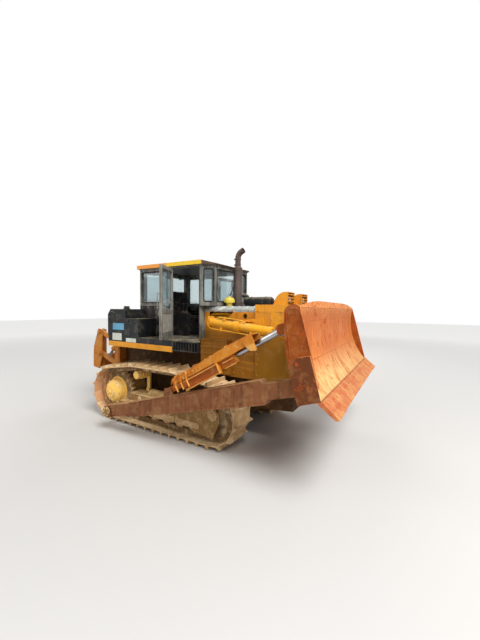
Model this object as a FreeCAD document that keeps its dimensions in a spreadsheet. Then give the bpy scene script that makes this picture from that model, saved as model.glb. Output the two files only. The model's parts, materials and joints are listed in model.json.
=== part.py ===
import FreeCAD, Part
import Sketcher
import math
import os

from FreeCAD import Placement, Rotation, Vector

# Crawler dozer with a straight tilting blade and a rear ripper.
# Machine frame: X forward from the sprocket axle, Y left, Z up from the ground.

doc = FreeCAD.newDocument("Bulldozer")
sheet = doc.addObject("Spreadsheet::Sheet", "Sizes")

# name, millimetres (degrees or a count where the name says so), what it is
sizeTable = [
    ("axleStation", -1724.5, "sprocket axle from the middle of the length"),
    ("fit", 0.3, "gap between pieces that bear on each other"),
    # undercarriage
    ("trackCentre", 1000, "middle of a track from the middle plane"),
    ("shoeWidth", 560, "track shoe across"),
    ("shoePlate", 12, "track shoe thickness"),
    ("grouserHeight", 65, "lug of a shoe"),
    ("linkHalf", 50, "chain link above and below its pin line"),
    ("railInner", 62, "link rail, inner face from the track's middle"),
    ("railOuter", 104, "link rail, outer face from the track's middle"),
    ("bushingRadius", 33, "chain bushing"),
    ("linkCount", 38, "shoes on a track"),
    ("toothCount", 27, "sprocket teeth"),
    ("sprocketPitch", 468, "pin circle on the sprocket"),
    ("idlerPitch", 448, "pin circle on the idler"),
    ("carrierPitch", 140, "pin line above a carrier roller's axle"),
    ("carrierAxle", 1035, "carrier roller axle height"),
    ("rearCarrier", 750, "rear carrier roller from the sprocket axle"),
    ("frontCarrier", 1850, "front carrier roller from the sprocket axle"),
    ("rollerRadius", 100, "track roller tread"),
    ("rollerFlange", 118, "track roller flange"),
    ("firstRoller", 560, "first track roller from the sprocket axle"),
    ("rollerStep", 336, "from one track roller to the next"),
    ("frameHalf", 178, "track frame side from the track's middle"),
    ("frameWall", 18, "track frame plate"),
    ("frameTop", 640, "track frame top"),
    ("frameWeb", 400, "underside of the track frame's closed part"),
    ("frameSkirt", 268, "lower edge of the roller guards"),
    ("frameRear", 530, "rear end of the track frame"),
    # hull
    ("hullHalf", 480, "main frame from the middle plane"),
    ("bellyHeight", 405, "ground clearance"),
    ("hullRear", -450, "rear face of the main frame"),
    ("hullFront", 3240, "front end of the main frame"),
    ("hullDeck", 1790, "top of the main frame under the cab"),
    ("hullBonnet", 1150, "top of the main frame under the engine"),
    ("hookBore", 26, "pin bore of the front pull hook"),
    # bonnet and radiator guard
    ("bonnetRear", 2100, "rear edge of the bonnet"),
    ("bonnetHalf", 620, "bonnet side from the middle plane"),
    ("bonnetTop", 2470, "top of the bonnet"),
    ("bonnetFold", 105, "depth of the bonnet's side fold"),
    ("shelfPlate", 40, "shelf between main frame and side panels"),
    ("sheetWall", 12, "body sheet"),
    ("guardHalf", 660, "radiator guard side from the middle plane"),
    ("guardFront", 3950, "front of the radiator guard"),
    ("guardTop", 2500, "top of the radiator guard"),
    ("guardWall", 22, "radiator guard plate"),
    ("lampBack", 150, "lamp guards behind the front of the radiator guard"),
    ("lampMiddle", 372, "lamp guards from the middle plane"),
    # cab
    ("cabRear", 440, "rear wall of the cab"),
    ("cabHalf", 800, "cab side wall from the middle plane"),
    ("cabCorner", 2160, "where the cab's side turns to its front corner"),
    ("cabNose", 2350, "front of the cab above the bonnet"),
    ("cabNoseHalf", 620, "half of the cab's front above the bonnet"),
    ("floorPlate", 40, "cab floor plate"),
    ("noseRoom", 15, "the cab's nose above the bonnet"),
    ("cabTop", 3270, "underside of the roof"),
    ("roofTop", 3350, "top of the roof"),
    ("cabWall", 50, "cab wall and posts"),
    ("doorRear", 1370, "rear edge of the door opening"),
    ("doorFront", 2090, "front edge of the door opening"),
    ("sillLip", 12, "door opening above the cab floor"),
    ("lintel", 45, "door opening below the underside of the roof"),
    ("doorGap", 10, "gap round a shut door"),
    ("doorThick", 45, "door thickness"),
    ("doorOpenRight", 63, "degrees the right door stands open"),
    ("doorOpenLeft", 90, "degrees the left door stands open"),
    ("hingeStand", 22, "door hinge axis outside the cab's side"),
    ("knuckle", 13, "door hinge barrel radius"),
    ("glassThick", 6, "window pane"),
    # fenders and tanks
    ("fenderEdge", 1270, "outer edge of the fenders"),
    ("fenderRear", -10, "rear end of the fenders"),
    ("fenderFront", 2440, "front end of the fenders"),
    ("combStart", 1870, "rear end of a fender's slotted step"),
    ("combDepth", 165, "depth of the slotted step"),
    ("fenderPlate", 20, "fender deck plate"),
    ("bandDepth", 110, "black side band of a fender"),
    ("stripDepth", 105, "painted strip under the band"),
    # blade and push arms, measured level from the trunnion pin
    ("liftAngle", 15.07, "degrees the blade is raised above level"),
    ("trunnionX", 550, "push arm pivot from the sprocket axle"),
    ("trunnionZ", 400, "push arm pivot above the ground"),
    ("armCentre", 1590, "push arm from the middle plane"),
    ("armHalf", 95, "half of a push arm's width"),
    ("armTop", 153, "push arm's upper edge at its front, over the pin line"),
    ("armFoot", 187, "push arm's lower edge at its front, under the pin line"),
    ("armRearTop", 105, "push arm's upper edge at the rear of its deep part"),
    ("armRearFoot", 165, "push arm's lower edge at the rear of its deep part"),
    ("armMainStart", 740, "rear end of the arm's deep part"),
    ("armMainEnd", 3460, "front end of the arm's deep part"),
    ("ballReach", 3900, "blade ball joint from the trunnion"),
    ("ballHeight", -15, "blade ball joint over the pin line"),
    ("ballRadius", 78, "blade ball joint"),
    ("trunnionPin", 50, "push arm pivot pin"),
    ("trunnionBall", 80, "ball on the push arm pivot pin"),
    ("ballRoom", 2, "room round the blade's ball in its slot"),
    ("swivelRoom", 12, "room round a ball's pin for the arm's tilt"),
    ("bladeOverhang", 272, "blade end outside the middle of a push arm"),
    ("endBox", 42, "lower end boxes outside the blade's end plates"),
    ("bladeFoot", 4290, "blade seam from the trunnion"),
    ("bladeSeam", -180, "seam of the cutting edge"),
    ("bladeTop", 965, "upper edge at the blade's ends"),
    ("bladeCrown", 1065, "upper edge at the blade's middle"),
    ("bladeCurve", 1240, "radius of the blade's face"),
    ("bladePlate", 26, "blade face plate"),
    ("edgeReach", 146, "cutting edge, tip ahead of the seam"),
    ("edgeDrop", 220, "cutting edge, tip below the seam"),
    ("edgeThick", 34, "cutting edge thickness"),
    ("endBit", 430, "length of a cutting edge end bit"),
    # cylinders
    ("liftCentre", 865, "lift cylinders from the middle plane"),
    ("yokeX", 3005, "lift cylinder pivot from the sprocket axle"),
    ("yokeZ", 2120, "lift cylinder pivot above the ground"),
    ("gimbalAxis", 60, "upright pin of a lift gimbal outside the radiator guard"),
    ("gimbalHalf", 70, "lift gimbal block each way from its pins"),
    ("gimbalPin", 25, "upright pin of a lift gimbal"),
    ("trunnionStub", 45, "level pin of a lift cylinder in its gimbal"),
    ("liftPinX", 3754, "lift pin on the blade from the trunnion, level"),
    ("liftPinZ", 660, "lift pin on the blade above the trunnion, level"),
    ("liftBarrel", 75, "lift cylinder barrel radius"),
    ("liftRod", 42, "lift cylinder rod radius"),
    ("tiltPinX", 1690, "tilt cylinder pin on the arm, level"),
    ("tiltPinZ", 192, "tilt cylinder pin above the trunnion, level"),
    ("tiltEyeX", 3931, "tilt pin on the blade from the trunnion, level"),
    ("tiltEyeZ", 754, "tilt pin on the blade above the trunnion, level"),
    ("clevisPin", 24, "pin of a ball-jointed clevis"),
    ("clevisBall", 38, "ball on that pin"),
    ("tiltBarrel", 92, "tilt cylinder barrel radius"),
    ("tiltRod", 45, "tilt cylinder rod radius"),
    # ripper
    ("ripperRaise", 20, "degrees the ripper links stand up"),
    ("ripperLink", 720, "ripper link between its pins"),
    ("ripperHull", -560, "ripper pins on the hull"),
    ("ripperLow", 1010, "lower ripper pin on the hull"),
    ("ripperHigh", 1560, "upper ripper pin on the hull"),
]


class Size:
    # A size with the sheet formula that gives it.
    def __init__(self, value, text):
        self.value = float(value)
        self.text = text

    def __add__(self, other):
        other = asSize(other)
        return Size(self.value + other.value, f"({self.text} + {other.text})")

    def __sub__(self, other):
        other = asSize(other)
        return Size(self.value - other.value, f"({self.text} - {other.text})")

    def __mul__(self, other):
        other = asSize(other)
        return Size(self.value * other.value, f"({self.text} * {other.text})")

    def __truediv__(self, other):
        other = asSize(other)
        return Size(self.value / other.value, f"({self.text} / {other.text})")

    def __radd__(self, other):
        return asSize(other) + self

    def __rsub__(self, other):
        return asSize(other) - self

    def __rmul__(self, other):
        return asSize(other) * self

    def __neg__(self):
        return asSize(0) - self

    def __float__(self):
        return self.value

    def __lt__(self, other):
        return self.value < float(other)


def asSize(number):
    if isinstance(number, Size):
        return number
    return Size(number, f"({float(number):.6f})")


class Sizes:
    pass


S = Sizes()
for row, (name, value, note) in enumerate(sizeTable, start=1):
    sheet.set(f"A{row}", name)
    sheet.set(f"B{row}", str(value))
    sheet.set(f"C{row}", note)
    sheet.setAlias(f"B{row}", name)
    setattr(S, name, Size(value, f"Sizes.{name}"))
S.cabFloor = S.hullDeck + S.floorPlate
S.doorSill = S.cabFloor + S.sillLip
S.doorHead = S.cabTop - S.lintel
S.cabSill = S.bonnetTop + S.noseRoom
S.bonnetEdge = S.bonnetTop - S.bonnetFold
S.bladeHalf = S.armCentre + S.bladeOverhang
doc.recompute()

nodes = []


def bind(thing, path, size):
    thing.setExpression(path, asSize(size).text)


def moveTo(thing, x, y, z):
    for axis, size in zip("xyz", (x, y, z)):
        bind(thing, f"Placement.Base.{axis}", size)
    return thing


def box(name, xs, ys, zs):
    made = doc.addObject("Part::Box", name)
    for path, (low, high) in zip(("Length", "Width", "Height"), (xs, ys, zs)):
        bind(made, path, asSize(high) - low)
    return moveTo(made, xs[0], ys[0], zs[0])


# Rotation that lays a cylinder's own axis along a machine axis
alongAxis = {
    "x": Rotation(Vector(0, 1, 0), 90),
    "y": Rotation(Vector(1, 0, 0), -90),
    "z": Rotation(),
}


def rod(name, axis, start, radius, length):
    made = doc.addObject("Part::Cylinder", name)
    bind(made, "Radius", radius)
    bind(made, "Height", length)
    made.Placement = Placement(Vector(), alongAxis[axis])
    return moveTo(made, *start)


def drawOutline(sketch, outline):
    # Points (across, up) or (across, up, radius); a radius bends the edge to the next point,
    # plus with its centre on the left of the way round and minus with it on the right.
    first = sketch.GeometryCount
    edges = []
    ends = []
    count = len(outline)
    for index, point in enumerate(outline):
        after = outline[(index + 1) % count]
        start = Vector(float(point[0]), float(point[1]), 0)
        end = Vector(float(after[0]), float(after[1]), 0)
        if len(point) < 3:
            edges.append(Part.LineSegment(start, end))
            ends.append((1, 2))
            continue
        radius = float(point[2])
        chord = end - start
        rise = math.sqrt(max(radius * radius - chord.Length ** 2 / 4, 0))
        left = Vector(-chord.y, chord.x, 0).normalize()
        centre = (start + end) * 0.5 + left * math.copysign(rise, radius)
        circle = Part.Circle(centre, Vector(0, 0, 1), abs(radius))
        turn = [math.atan2(p.y - centre.y, p.x - centre.x) for p in (start, end)]
        if radius > 0:
            edges.append(Part.ArcOfCircle(circle, turn[0], turn[1]))
            ends.append((1, 2))
        else:
            edges.append(Part.ArcOfCircle(circle, turn[1], turn[0]))
            ends.append((2, 1))
    sketch.addGeometry(edges, False)
    rules = []
    formulas = []
    for index, point in enumerate(outline):
        after = (index + 1) % count
        here = first + index
        rules.append(("Coincident", here, ends[index][1], first + after, ends[after][0]))
        formulas.append(None)
        rules.append(("DistanceX", -1, 1, here, ends[index][0], float(point[0])))
        formulas.append(point[0])
        rules.append(("DistanceY", -1, 1, here, ends[index][0], float(point[1])))
        formulas.append(point[1])
        if len(point) == 3:
            rules.append(("Radius", here, abs(float(point[2]))))
            formulas.append(point[2] if float(point[2]) > 0 else -asSize(point[2]))
    numbers = sketch.addConstraint([Sketcher.Constraint(*rule) for rule in rules])
    for number, formula in zip(numbers, formulas):
        if isinstance(formula, Size):
            sketch.setExpression(f"Constraints[{number}]", formula.text)


def newSketch(body, plane):
    sketch = body.newObject("Sketcher::SketchObject", body.Name + "Sketch")
    face = [part for part in body.Origin.OriginFeatures if part.Role == plane + "_Plane"]
    sketch.AttachmentSupport = (face[0], [""])
    sketch.MapMode = "FlatFace"
    return sketch


def prism(name, plane, outline, low, high, holes=()):
    # A pad of an outline drawn on a plane, between two heights along its normal.
    # Outlines are (x, z) on XZ, (y, z) on YZ and (x, y) on XY; a hole is (across, up, radius).
    body = doc.addObject("PartDesign::Body", name)
    sketch = newSketch(body, plane)
    base = -asSize(high) if plane == "XZ" else asSize(low)
    bind(sketch, "AttachmentOffset.Base.z", base)
    drawOutline(sketch, outline)
    for hole in holes:
        drawCircle(sketch, *hole)
    pad = body.newObject("PartDesign::Pad", name + "Pad")
    pad.Profile = sketch
    bind(pad, "Length", asSize(high) - low)
    sketch.Visibility = False
    return body


def turned(name, axis, centre, profile):
    # A solid of revolution; the profile's points are (along the axis, radius).
    body = doc.addObject("PartDesign::Body", name)
    sketch = newSketch(body, "XZ" if axis == "z" else "XY")
    if axis == "x":
        drawOutline(sketch, profile)
    else:
        drawOutline(sketch, [(point[1], point[0]) + tuple(point[2:]) for point in profile])
    spin = body.newObject("PartDesign::Revolution", name + "Turn")
    spin.Profile = sketch
    spin.ReferenceAxis = (sketch, ["H_Axis" if axis == "x" else "V_Axis"])
    spin.Angle = 360
    sketch.Visibility = False
    return moveTo(body, *centre)


def globe(name, centre, radius):
    made = doc.addObject("Part::Sphere", name)
    bind(made, "Radius", radius)
    return moveTo(made, *centre)


def drawCircle(sketch, across, up, radius):
    centre = Vector(float(across), float(up), 0)
    circle = sketch.addGeometry(Part.Circle(centre, Vector(0, 0, 1), float(radius)), False)
    rules = (("DistanceX", -1, 1, circle, 3, across), ("DistanceY", -1, 1, circle, 3, up),
             ("Radius", circle, radius))
    for rule in rules:
        number = sketch.addConstraint(Sketcher.Constraint(*rule[:-1], float(rule[-1])))
        if isinstance(rule[-1], Size):
            sketch.setExpression(f"Constraints[{number}]", rule[-1].text)


def shaped(name, shape):
    # A form that neither a body nor a primitive gives
    made = doc.addObject("Part::Feature", name)
    made.Shape = shape
    return made


def together(name, pieces):
    made = doc.addObject("Part::Compound", name)
    made.Links = pieces
    return made


def fused(name, pieces):
    made = doc.addObject("Part::MultiFuse", name)
    made.Shapes = pieces
    return made


def cut(name, base, tools):
    made = doc.addObject("Part::Cut", name)
    made.Base = base
    made.Tool = tools[0] if len(tools) == 1 else together(name + "Tools", tools)
    return made


def mirrored(piece):
    made = doc.addObject("Part::Mirroring", piece.Name + "Mirror")
    made.Source = piece
    made.Base = Vector(0, 0, 0)
    made.Normal = Vector(0, 1, 0)
    return made


def bothSides(name, piece):
    return together(name, [piece, mirrored(piece)])


def onHull(label, piece):
    # A node that stands in the machine frame
    piece.Label = label
    bind(piece, "Placement.Base.x", S.axleStation)
    nodes.append(piece)
    return piece


def onPivot(label, piece, x, z, degrees, y=0):
    # A node drawn about a pin, turned up by an angle and set on that pin
    piece.Label = label
    piece.Placement = Placement(Vector(), Rotation(Vector(0, -1, 0), float(degrees)))
    moveTo(piece, S.axleStation + x, y, z)
    nodes.append(piece)
    return piece


# Track chain path
# It is a belt round the sprocket, the carrier rollers and the idler, seen from the right side
# with X forward and Z up, and runs forwards over the top.

linkPitch = float(S.sprocketPitch) * 2 * (2 * math.pi / float(S.toothCount))
pinLine = float(S.linkHalf) + float(S.shoePlate) + float(S.grouserHeight)
sprocketZ = S.sprocketPitch + S.linkHalf + S.shoePlate + S.grouserHeight
idlerZ = S.idlerPitch + S.linkHalf + S.shoePlate + S.grouserHeight


def beltPath(idlerX):
    wheels = [
        (0.0, float(sprocketZ), float(S.sprocketPitch)),
        (float(S.rearCarrier), float(S.carrierAxle), float(S.carrierPitch)),
        (float(S.frontCarrier), float(S.carrierAxle), float(S.carrierPitch)),
        (idlerX, float(idlerZ), float(S.idlerPitch)),
    ]
    normals = []
    spans = []
    for index, (x, z, radius) in enumerate(wheels):
        nextX, nextZ, nextRadius = wheels[(index + 1) % len(wheels)]
        way = Vector(nextX - x, 0, nextZ - z)
        lean = math.asin((radius - nextRadius) / way.Length)
        way.normalize()
        left = Vector(-way.z, 0, way.x)
        normal = left * math.cos(lean) + way * math.sin(lean)
        normals.append(math.atan2(normal.z, normal.x))
        start = Vector(x, 0, z) + normal * radius
        end = Vector(nextX, 0, nextZ) + normal * nextRadius
        spans.append((start, end))
    steps = []
    for index, (x, z, radius) in enumerate(wheels):
        entering = normals[index - 1]
        turn = (entering - normals[index]) % (2 * math.pi)
        steps.append(("arc", radius * turn, (x, z, radius, entering)))
        start, end = spans[index]
        steps.append(("line", (end - start).Length, (start, end)))
    return steps


def pathPoint(steps, distance):
    for kind, length, what in steps:
        if distance <= length:
            if kind == "arc":
                x, z, radius, entering = what
                angle = entering - distance / radius
                return Vector(x + radius * math.cos(angle), 0, z + radius * math.sin(angle))
            start, end = what
            return start + (end - start) * (distance / length)
        distance -= length
    return pathPoint(steps, 0.0)


# The idler stands where the chain of whole links is tight
nearest, farthest = 2300.0, 3300.0
chainLength = linkPitch * float(S.linkCount)
for attempt in range(60):
    idlerX = (nearest + farthest) / 2
    if sum(step[1] for step in beltPath(idlerX)) > chainLength:
        farthest = idlerX
    else:
        nearest = idlerX
chainPath = beltPath(idlerX)
pins = [pathPoint(chainPath, link * linkPitch) for link in range(int(S.linkCount.value))]
toothPhase = chainPath[0][2][3]


def linkFrames():
    # Each link's start pin, its direction and the way out of the loop
    for index, start in enumerate(pins):
        end = pins[(index + 1) % len(pins)]
        way = (end - start).normalize()
        yield start, way, Vector(-way.z, 0, way.x), (end - start).Length


def loopFace(points):
    return Part.Face(Part.makePolygon(points + points[:1]))


def railRadius(x, z):
    # Largest wheel at this place that the link rails still clear
    here = Vector(x, 0, z)
    nearest = min(abs((here - start).dot(out)) for start, way, out, length in linkFrames()
                  if -40 <= (here - start).dot(way) <= length + 40)
    return nearest - float(S.linkHalf) - float(S.fit)


def trackShape():
    # Shoes with their lugs are one closed band; two scalloped rails and the bushings carry it.
    band = []
    seat = []
    rail = []
    plateTop = float(S.linkHalf + S.shoePlate)
    lugTop = float(S.linkHalf + S.shoePlate + S.grouserHeight)
    for start, way, out, length in linkFrames():
        for along, height in ((0, plateTop), (length - 58, plateTop), (length - 40, lugTop),
                              (length - 22, lugTop)):
            band.append(start + way * along + out * height)
        seat.append(start + out * float(S.linkHalf))
        for along, depth in ((0, 34), (24, float(S.linkHalf)), (length - 24, float(S.linkHalf))):
            rail.append(start + way * along - out * depth)
    half = float(S.shoeWidth) / 2
    shoes = loopFace(band).cut(loopFace(seat)).extrude(Vector(0, 2 * half, 0))
    shoes.translate(Vector(0, -half, 0))
    rails = loopFace(seat).cut(loopFace(rail))
    pieces = []
    width = float(S.railOuter - S.railInner)
    for side in (float(S.railInner), -float(S.railOuter)):
        piece = rails.extrude(Vector(0, width, 0))
        piece.translate(Vector(0, side, 0))
        pieces.append(piece)
    radius = float(S.bushingRadius)
    inner = float(S.railInner)
    for start, way, out, length in linkFrames():
        hexagon = []
        for corner in range(6):
            angle = math.radians(60 * corner + 30)
            hexagon.append(start + way * radius * math.cos(angle) + out * radius * math.sin(angle))
        bushing = loopFace(hexagon).extrude(Vector(0, 2 * inner, 0))
        bushing.translate(Vector(0, -inner, 0))
        pieces.append(bushing)
    shape = shoes.multiFuse(pieces)
    if len(shape.Solids) != 1:
        raise RuntimeError(f"the track is {len(shape.Solids)} solids")
    return shape.Solids[0]


trackSolid = trackShape()
for side, sign in (("right", -1), ("left", 1)):
    track = shaped(f"Track{side.title()}", trackSolid.copy())
    track.Label = f"track_{side}"
    moveTo(track, S.axleStation, sign * S.trackCentre, 0)
    nodes.append(track)


def sprocketOutline():
    # Tooth spaces seat the bushings; each row is (radius from the axle, half width of the space)
    spaces = [(496, 46), (468, 39), (442, 27), (430, 0), (442, -27), (468, -39), (496, -46)]
    points = []
    for tooth in range(int(S.toothCount.value)):
        middle = toothPhase - 2 * math.pi * tooth / float(S.toothCount)
        for radius, half in spaces:
            angle = middle + half / 468.0
            points.append(Vector(radius * math.cos(angle), 0, radius * math.sin(angle)))
    return points


def sprocketShape():
    ring = loopFace(sprocketOutline()).extrude(Vector(0, 76, 0))
    ring.translate(Vector(0, -38, 0))
    hole = Part.makeCylinder(300, 100, Vector(0, -50, 0), Vector(0, 1, 0))
    return ring.cut(hole)


rightTrack = -S.trackCentre
sprocketRing = shaped("SprocketRing", sprocketShape())
moveTo(sprocketRing, 0, rightTrack, sprocketZ)
onHull("sprockets", bothSides("Sprockets", sprocketRing))

# Final drive: a case from the hull to the sprocket and the domed hub outside it
caseProfile = [(-520, 0), (-520, 250), (-45, 250), (-45, 299), (45, 299), (45, 250),
               (150, 236), (205, 200), (235, 120), (250, 120), (250, 0)]
finalDrive = turned("FinalDrive", "y", (0, rightTrack, sprocketZ),
                    [(-along, radius) for along, radius in caseProfile])
onHull("final_drives", bothSides("FinalDrives", finalDrive))

# Idler: a rim that the rails run on, a centre flange between them, a hub on its axle
idlerTread = railRadius(idlerX, float(idlerZ))
idlerProfile = [(-170, 0), (-170, 70), (-104, 70), (-104, idlerTread - 60), (-104, idlerTread),
                (-40, idlerTread), (-40, idlerTread + 18), (40, idlerTread + 18), (40, idlerTread),
                (104, idlerTread), (104, idlerTread - 60), (60, idlerTread - 110), (60, 130),
                (104, 110), (104, 70), (170, 70), (170, 0)]
idlerProfile[3:4] = [(-104, 110), (-60, 130), (-60, idlerTread - 110), (-104, idlerTread - 60)]
idler = turned("Idler", "y", (idlerX, rightTrack, idlerZ), idlerProfile)
onHull("idlers", bothSides("Idlers", idler))


def rollerProfile(tread, flange, half):
    return [(-half, 0), (-half, tread - 22), (-116, tread - 6), (-108, tread), (-58, tread),
            (-52, flange), (-30, flange), (-24, tread - 26), (24, tread - 26), (30, flange),
            (52, flange), (58, tread), (108, tread), (116, tread - 6), (half, tread - 22), (half, 0)]


trackRollers = []
rollerZ = pinLine + float(S.linkHalf) + float(S.rollerRadius) + float(S.fit)
for number in range(6):
    place = S.firstRoller + S.rollerStep * number
    trackRollers.append(turned(f"TrackRoller{number}", "y", (place, rightTrack, rollerZ),
                               rollerProfile(float(S.rollerRadius), float(S.rollerFlange), 155)))
onHull("track_rollers", bothSides("TrackRollers", together("RightRollers", trackRollers)))

carriers = []
for number, place in enumerate((S.rearCarrier, S.frontCarrier)):
    tread = railRadius(float(place), float(S.carrierAxle))
    profile = rollerProfile(tread, tread + 10, 160)
    carriers.append(turned(f"Carrier{number}", "y", (place, rightTrack, S.carrierAxle), profile))
    carriers.append(box(f"CarrierPost{number}", (place - 45, place + 45),
                        (rightTrack + 152, rightTrack + 190), (S.frameTop, S.carrierAxle + 60)))
    carriers.append(box(f"CarrierFoot{number}", (place - 45, place + 45),
                        (rightTrack + 132, rightTrack + 152), (S.frameTop, S.frameTop + 60)))
onHull("carrier_rollers", bothSides("CarrierRollers", fused("RightCarriers", carriers)))

# Track frame: an upside-down channel over the rollers, with forks to the idler axle
frameFront = asSize(idlerX - idlerTread - 34)
half = S.frameHalf
wall = S.frameWall
channel = [(rightTrack - half, S.frameSkirt), (rightTrack - half + wall, S.frameSkirt),
           (rightTrack - half + wall, S.frameWeb), (rightTrack + half - wall, S.frameWeb),
           (rightTrack + half - wall, S.frameSkirt), (rightTrack + half, S.frameSkirt),
           (rightTrack + half, S.frameTop), (rightTrack - half, S.frameTop)]
framePieces = [prism("FrameChannel", "YZ", channel, S.frameRear, frameFront)]
forkRear = frameFront - 40
forkTip = idlerX + 150
axleBottom = float(idlerZ) - 110
for number, low in enumerate((rightTrack - half, rightTrack + half - wall)):
    outline = [(forkRear, S.frameSkirt - 60), (idlerX + 20, S.frameSkirt - 110),
               (forkTip, axleBottom), (forkTip, idlerZ + 60), (idlerX - 60, idlerZ + 110),
               (forkRear, S.frameTop)]
    framePieces.append(prism(f"IdlerFork{number}", "XZ", outline, low, low + wall,
                             [(idlerX, idlerZ, 70 + S.fit)]))
framePieces.append(rod("RecoilHousing", "x", (S.frameRear + 500, rightTrack, S.frameTop - 20), 125,
                       frameFront - S.frameRear - 520))
# Push arm trunnion: a bracket on the frame's side with the pivot pin
pinStart = rightTrack - half
pinEnd = S.armCentre + S.armHalf + 25
framePieces.append(box("TrunnionBracket", (S.trunnionX - 150, S.trunnionX + 190),
                       (pinStart - 150, pinStart), (S.trunnionZ - 95, S.trunnionZ + 95)))
framePieces.append(rod("TrunnionPin", "y", (S.trunnionX, -pinEnd, S.trunnionZ), S.trunnionPin,
                       pinEnd + pinStart))
framePieces.append(rod("TrunnionCap", "y", (S.trunnionX, -pinEnd - 20, S.trunnionZ), 100, 20))
framePieces.append(globe("TrunnionBall", (S.trunnionX, -S.armCentre, S.trunnionZ), S.trunnionBall))
onHull("track_frames", bothSides("TrackFrames", fused("RightFrame", framePieces)))

# Main frame: the hull with its belly, the pivot shaft and the equaliser bar
hullSide = [(S.hullRear, S.bellyHeight + 150), (S.hullRear + 160, S.bellyHeight),
            (S.hullFront - 340, S.bellyHeight), (S.hullFront, S.bellyHeight + 190),
            (S.hullFront + 660, S.bellyHeight + 250), (S.hullFront + 660, S.hullBonnet),
            (S.bonnetRear, S.hullBonnet), (S.bonnetRear, S.hullDeck),
            (S.hullRear, S.hullDeck)]
hull = prism("Hull", "XZ", hullSide, -S.hullHalf, S.hullHalf)
shaft = rod("PivotShaft", "y", (S.frameRear + 90, -S.trackCentre + half, S.frameTop - 110), 85,
            (S.trackCentre - half) * 2)
equaliser = box("EqualiserBar", (2080, 2240), (-S.trackCentre + half, S.trackCentre - half),
                (S.frameTop - 150, S.frameTop - 10))
# Front pull hook: a forked block with an upright pin bore
hookRear = S.hullFront + 660
hookBlock = box("HookBlock", (hookRear - 5, hookRear + 145), (-75, 75), (700, 880))
hookCuts = [box("HookMouth", (hookRear + 30, hookRear + 160), (-80, 80), (755, 825)),
            rod("HookBore", "z", (hookRear + 85, 0, 690), S.hookBore, 200)]
onHull("main_frame", fused("MainFrame", [hull, shaft, equaliser, cut("Hook", hookBlock, hookCuts)]))


def cosine(degrees):
    return Size(math.cos(math.radians(float(degrees))), f"cos({degrees.text} * 1 deg)")


def sine(degrees):
    return Size(math.sin(math.radians(float(degrees))), f"sin({degrees.text} * 1 deg)")


def raised(x, z):
    # A point of the level blade frame, carried up to where the blade stands, in the machine frame
    turn = S.liftAngle
    return (S.trunnionX + x * cosine(turn) - z * sine(turn),
            S.trunnionZ + x * sine(turn) + z * cosine(turn))


def bearing(start, end):
    # Length and upward angle in degrees from one point to another
    across = float(end[0]) - float(start[0])
    up = float(end[1]) - float(start[1])
    return math.hypot(across, up), math.degrees(math.atan2(up, across))


# Engine: block, head and rocker cover, with the manifold and its stubs on the right side
engineRear = S.bonnetRear + 110
engineFront = S.hullFront - 90
blockTop = S.bonnetTop - 500
headTop = S.bonnetTop - 150
manifoldZ = S.bonnetTop - 205
enginePieces = [
    box("EngineBlock", (engineRear, engineFront), (-320, 320), (S.hullBonnet, blockTop)),
    box("EngineHead", (engineRear + 40, engineFront - 40), (-260, 260), (blockTop, headTop)),
    box("RockerCover", (engineRear + 60, engineFront - 60), (-190, 190), (headTop, headTop + 90)),
    rod("Manifold", "x", (engineRear + 80, -420, manifoldZ), 62, engineFront - engineRear - 160),
]
for number in range(6):
    place = engineRear + 130 + 125 * number
    enginePieces.append(rod(f"Port{number}", "y", (place, -420, manifoldZ), 34, 180))
onHull("engine", fused("Engine", enginePieces))

# Bonnet: a folded sheet with bevelled shoulders, open below its edge
half = S.bonnetHalf
bonnetOutline = [(-half, S.bonnetEdge), (-half, S.bonnetTop - 60), (-half + 60, S.bonnetTop),
                 (half - 60, S.bonnetTop), (half, S.bonnetTop - 60), (half, S.bonnetEdge)]
inner = half - S.sheetWall
bonnetOutline += [(inner, S.bonnetEdge), (inner, S.bonnetTop - 65),
                  (inner - 53, S.bonnetTop - S.sheetWall), (-inner + 53, S.bonnetTop - S.sheetWall),
                  (-inner, S.bonnetTop - 65), (-inner, S.bonnetEdge)]
onHull("engine_bonnet", together("Bonnet", [
    prism("BonnetSheet", "YZ", bonnetOutline, S.bonnetRear, S.hullFront)]))

# Side panels: rear column, ribbed box and lower panel on a shelf from the main frame
shelfTop = S.hullBonnet + S.shelfPlate
skirtTop = shelfTop + 140
boxTop = shelfTop + 650
panelTop = S.bonnetEdge - 235
boxFront = S.bonnetRear + 610
shield = [(boxFront - 60, S.bonnetEdge - 110), (boxFront + 60, S.bonnetEdge), (S.hullFront, S.bonnetEdge),
          (S.hullFront, panelTop - 10), (S.hullFront - 330, panelTop - 10),
          (S.hullFront - 330, S.bonnetEdge - 150)]
sidePieces = [
    box("SideColumn", (S.bonnetRear, S.bonnetRear + 110), (-half, -inner), (boxTop, S.bonnetEdge)),
    box("SideBox", (S.bonnetRear, boxFront), (-half - 130, -inner), (skirtTop, boxTop)),
    box("SideSkirt", (S.bonnetRear, boxFront), (-half - 70, -inner), (shelfTop, skirtTop)),
    box("SidePanel", (S.bonnetRear, S.hullFront), (-half, -inner), (shelfTop, panelTop)),
    box("SideShelf", (S.bonnetRear, S.hullFront), (-half, -S.hullHalf), (S.hullBonnet, shelfTop)),
    prism("SideShield", "XZ", shield, -half, -half + 20, [(S.hullFront - 230, S.bonnetEdge - 75, 46)]),
]
for number in range(3):
    height = boxTop - 30 - 130 * number
    sidePieces.append(box(f"SideRib{number}", (S.bonnetRear, boxFront), (-half - 142, -half - 128),
                          (height, height + 30)))
onHull("engine_side_panels", bothSides("SidePanels", fused("RightPanels", sidePieces)))

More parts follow.
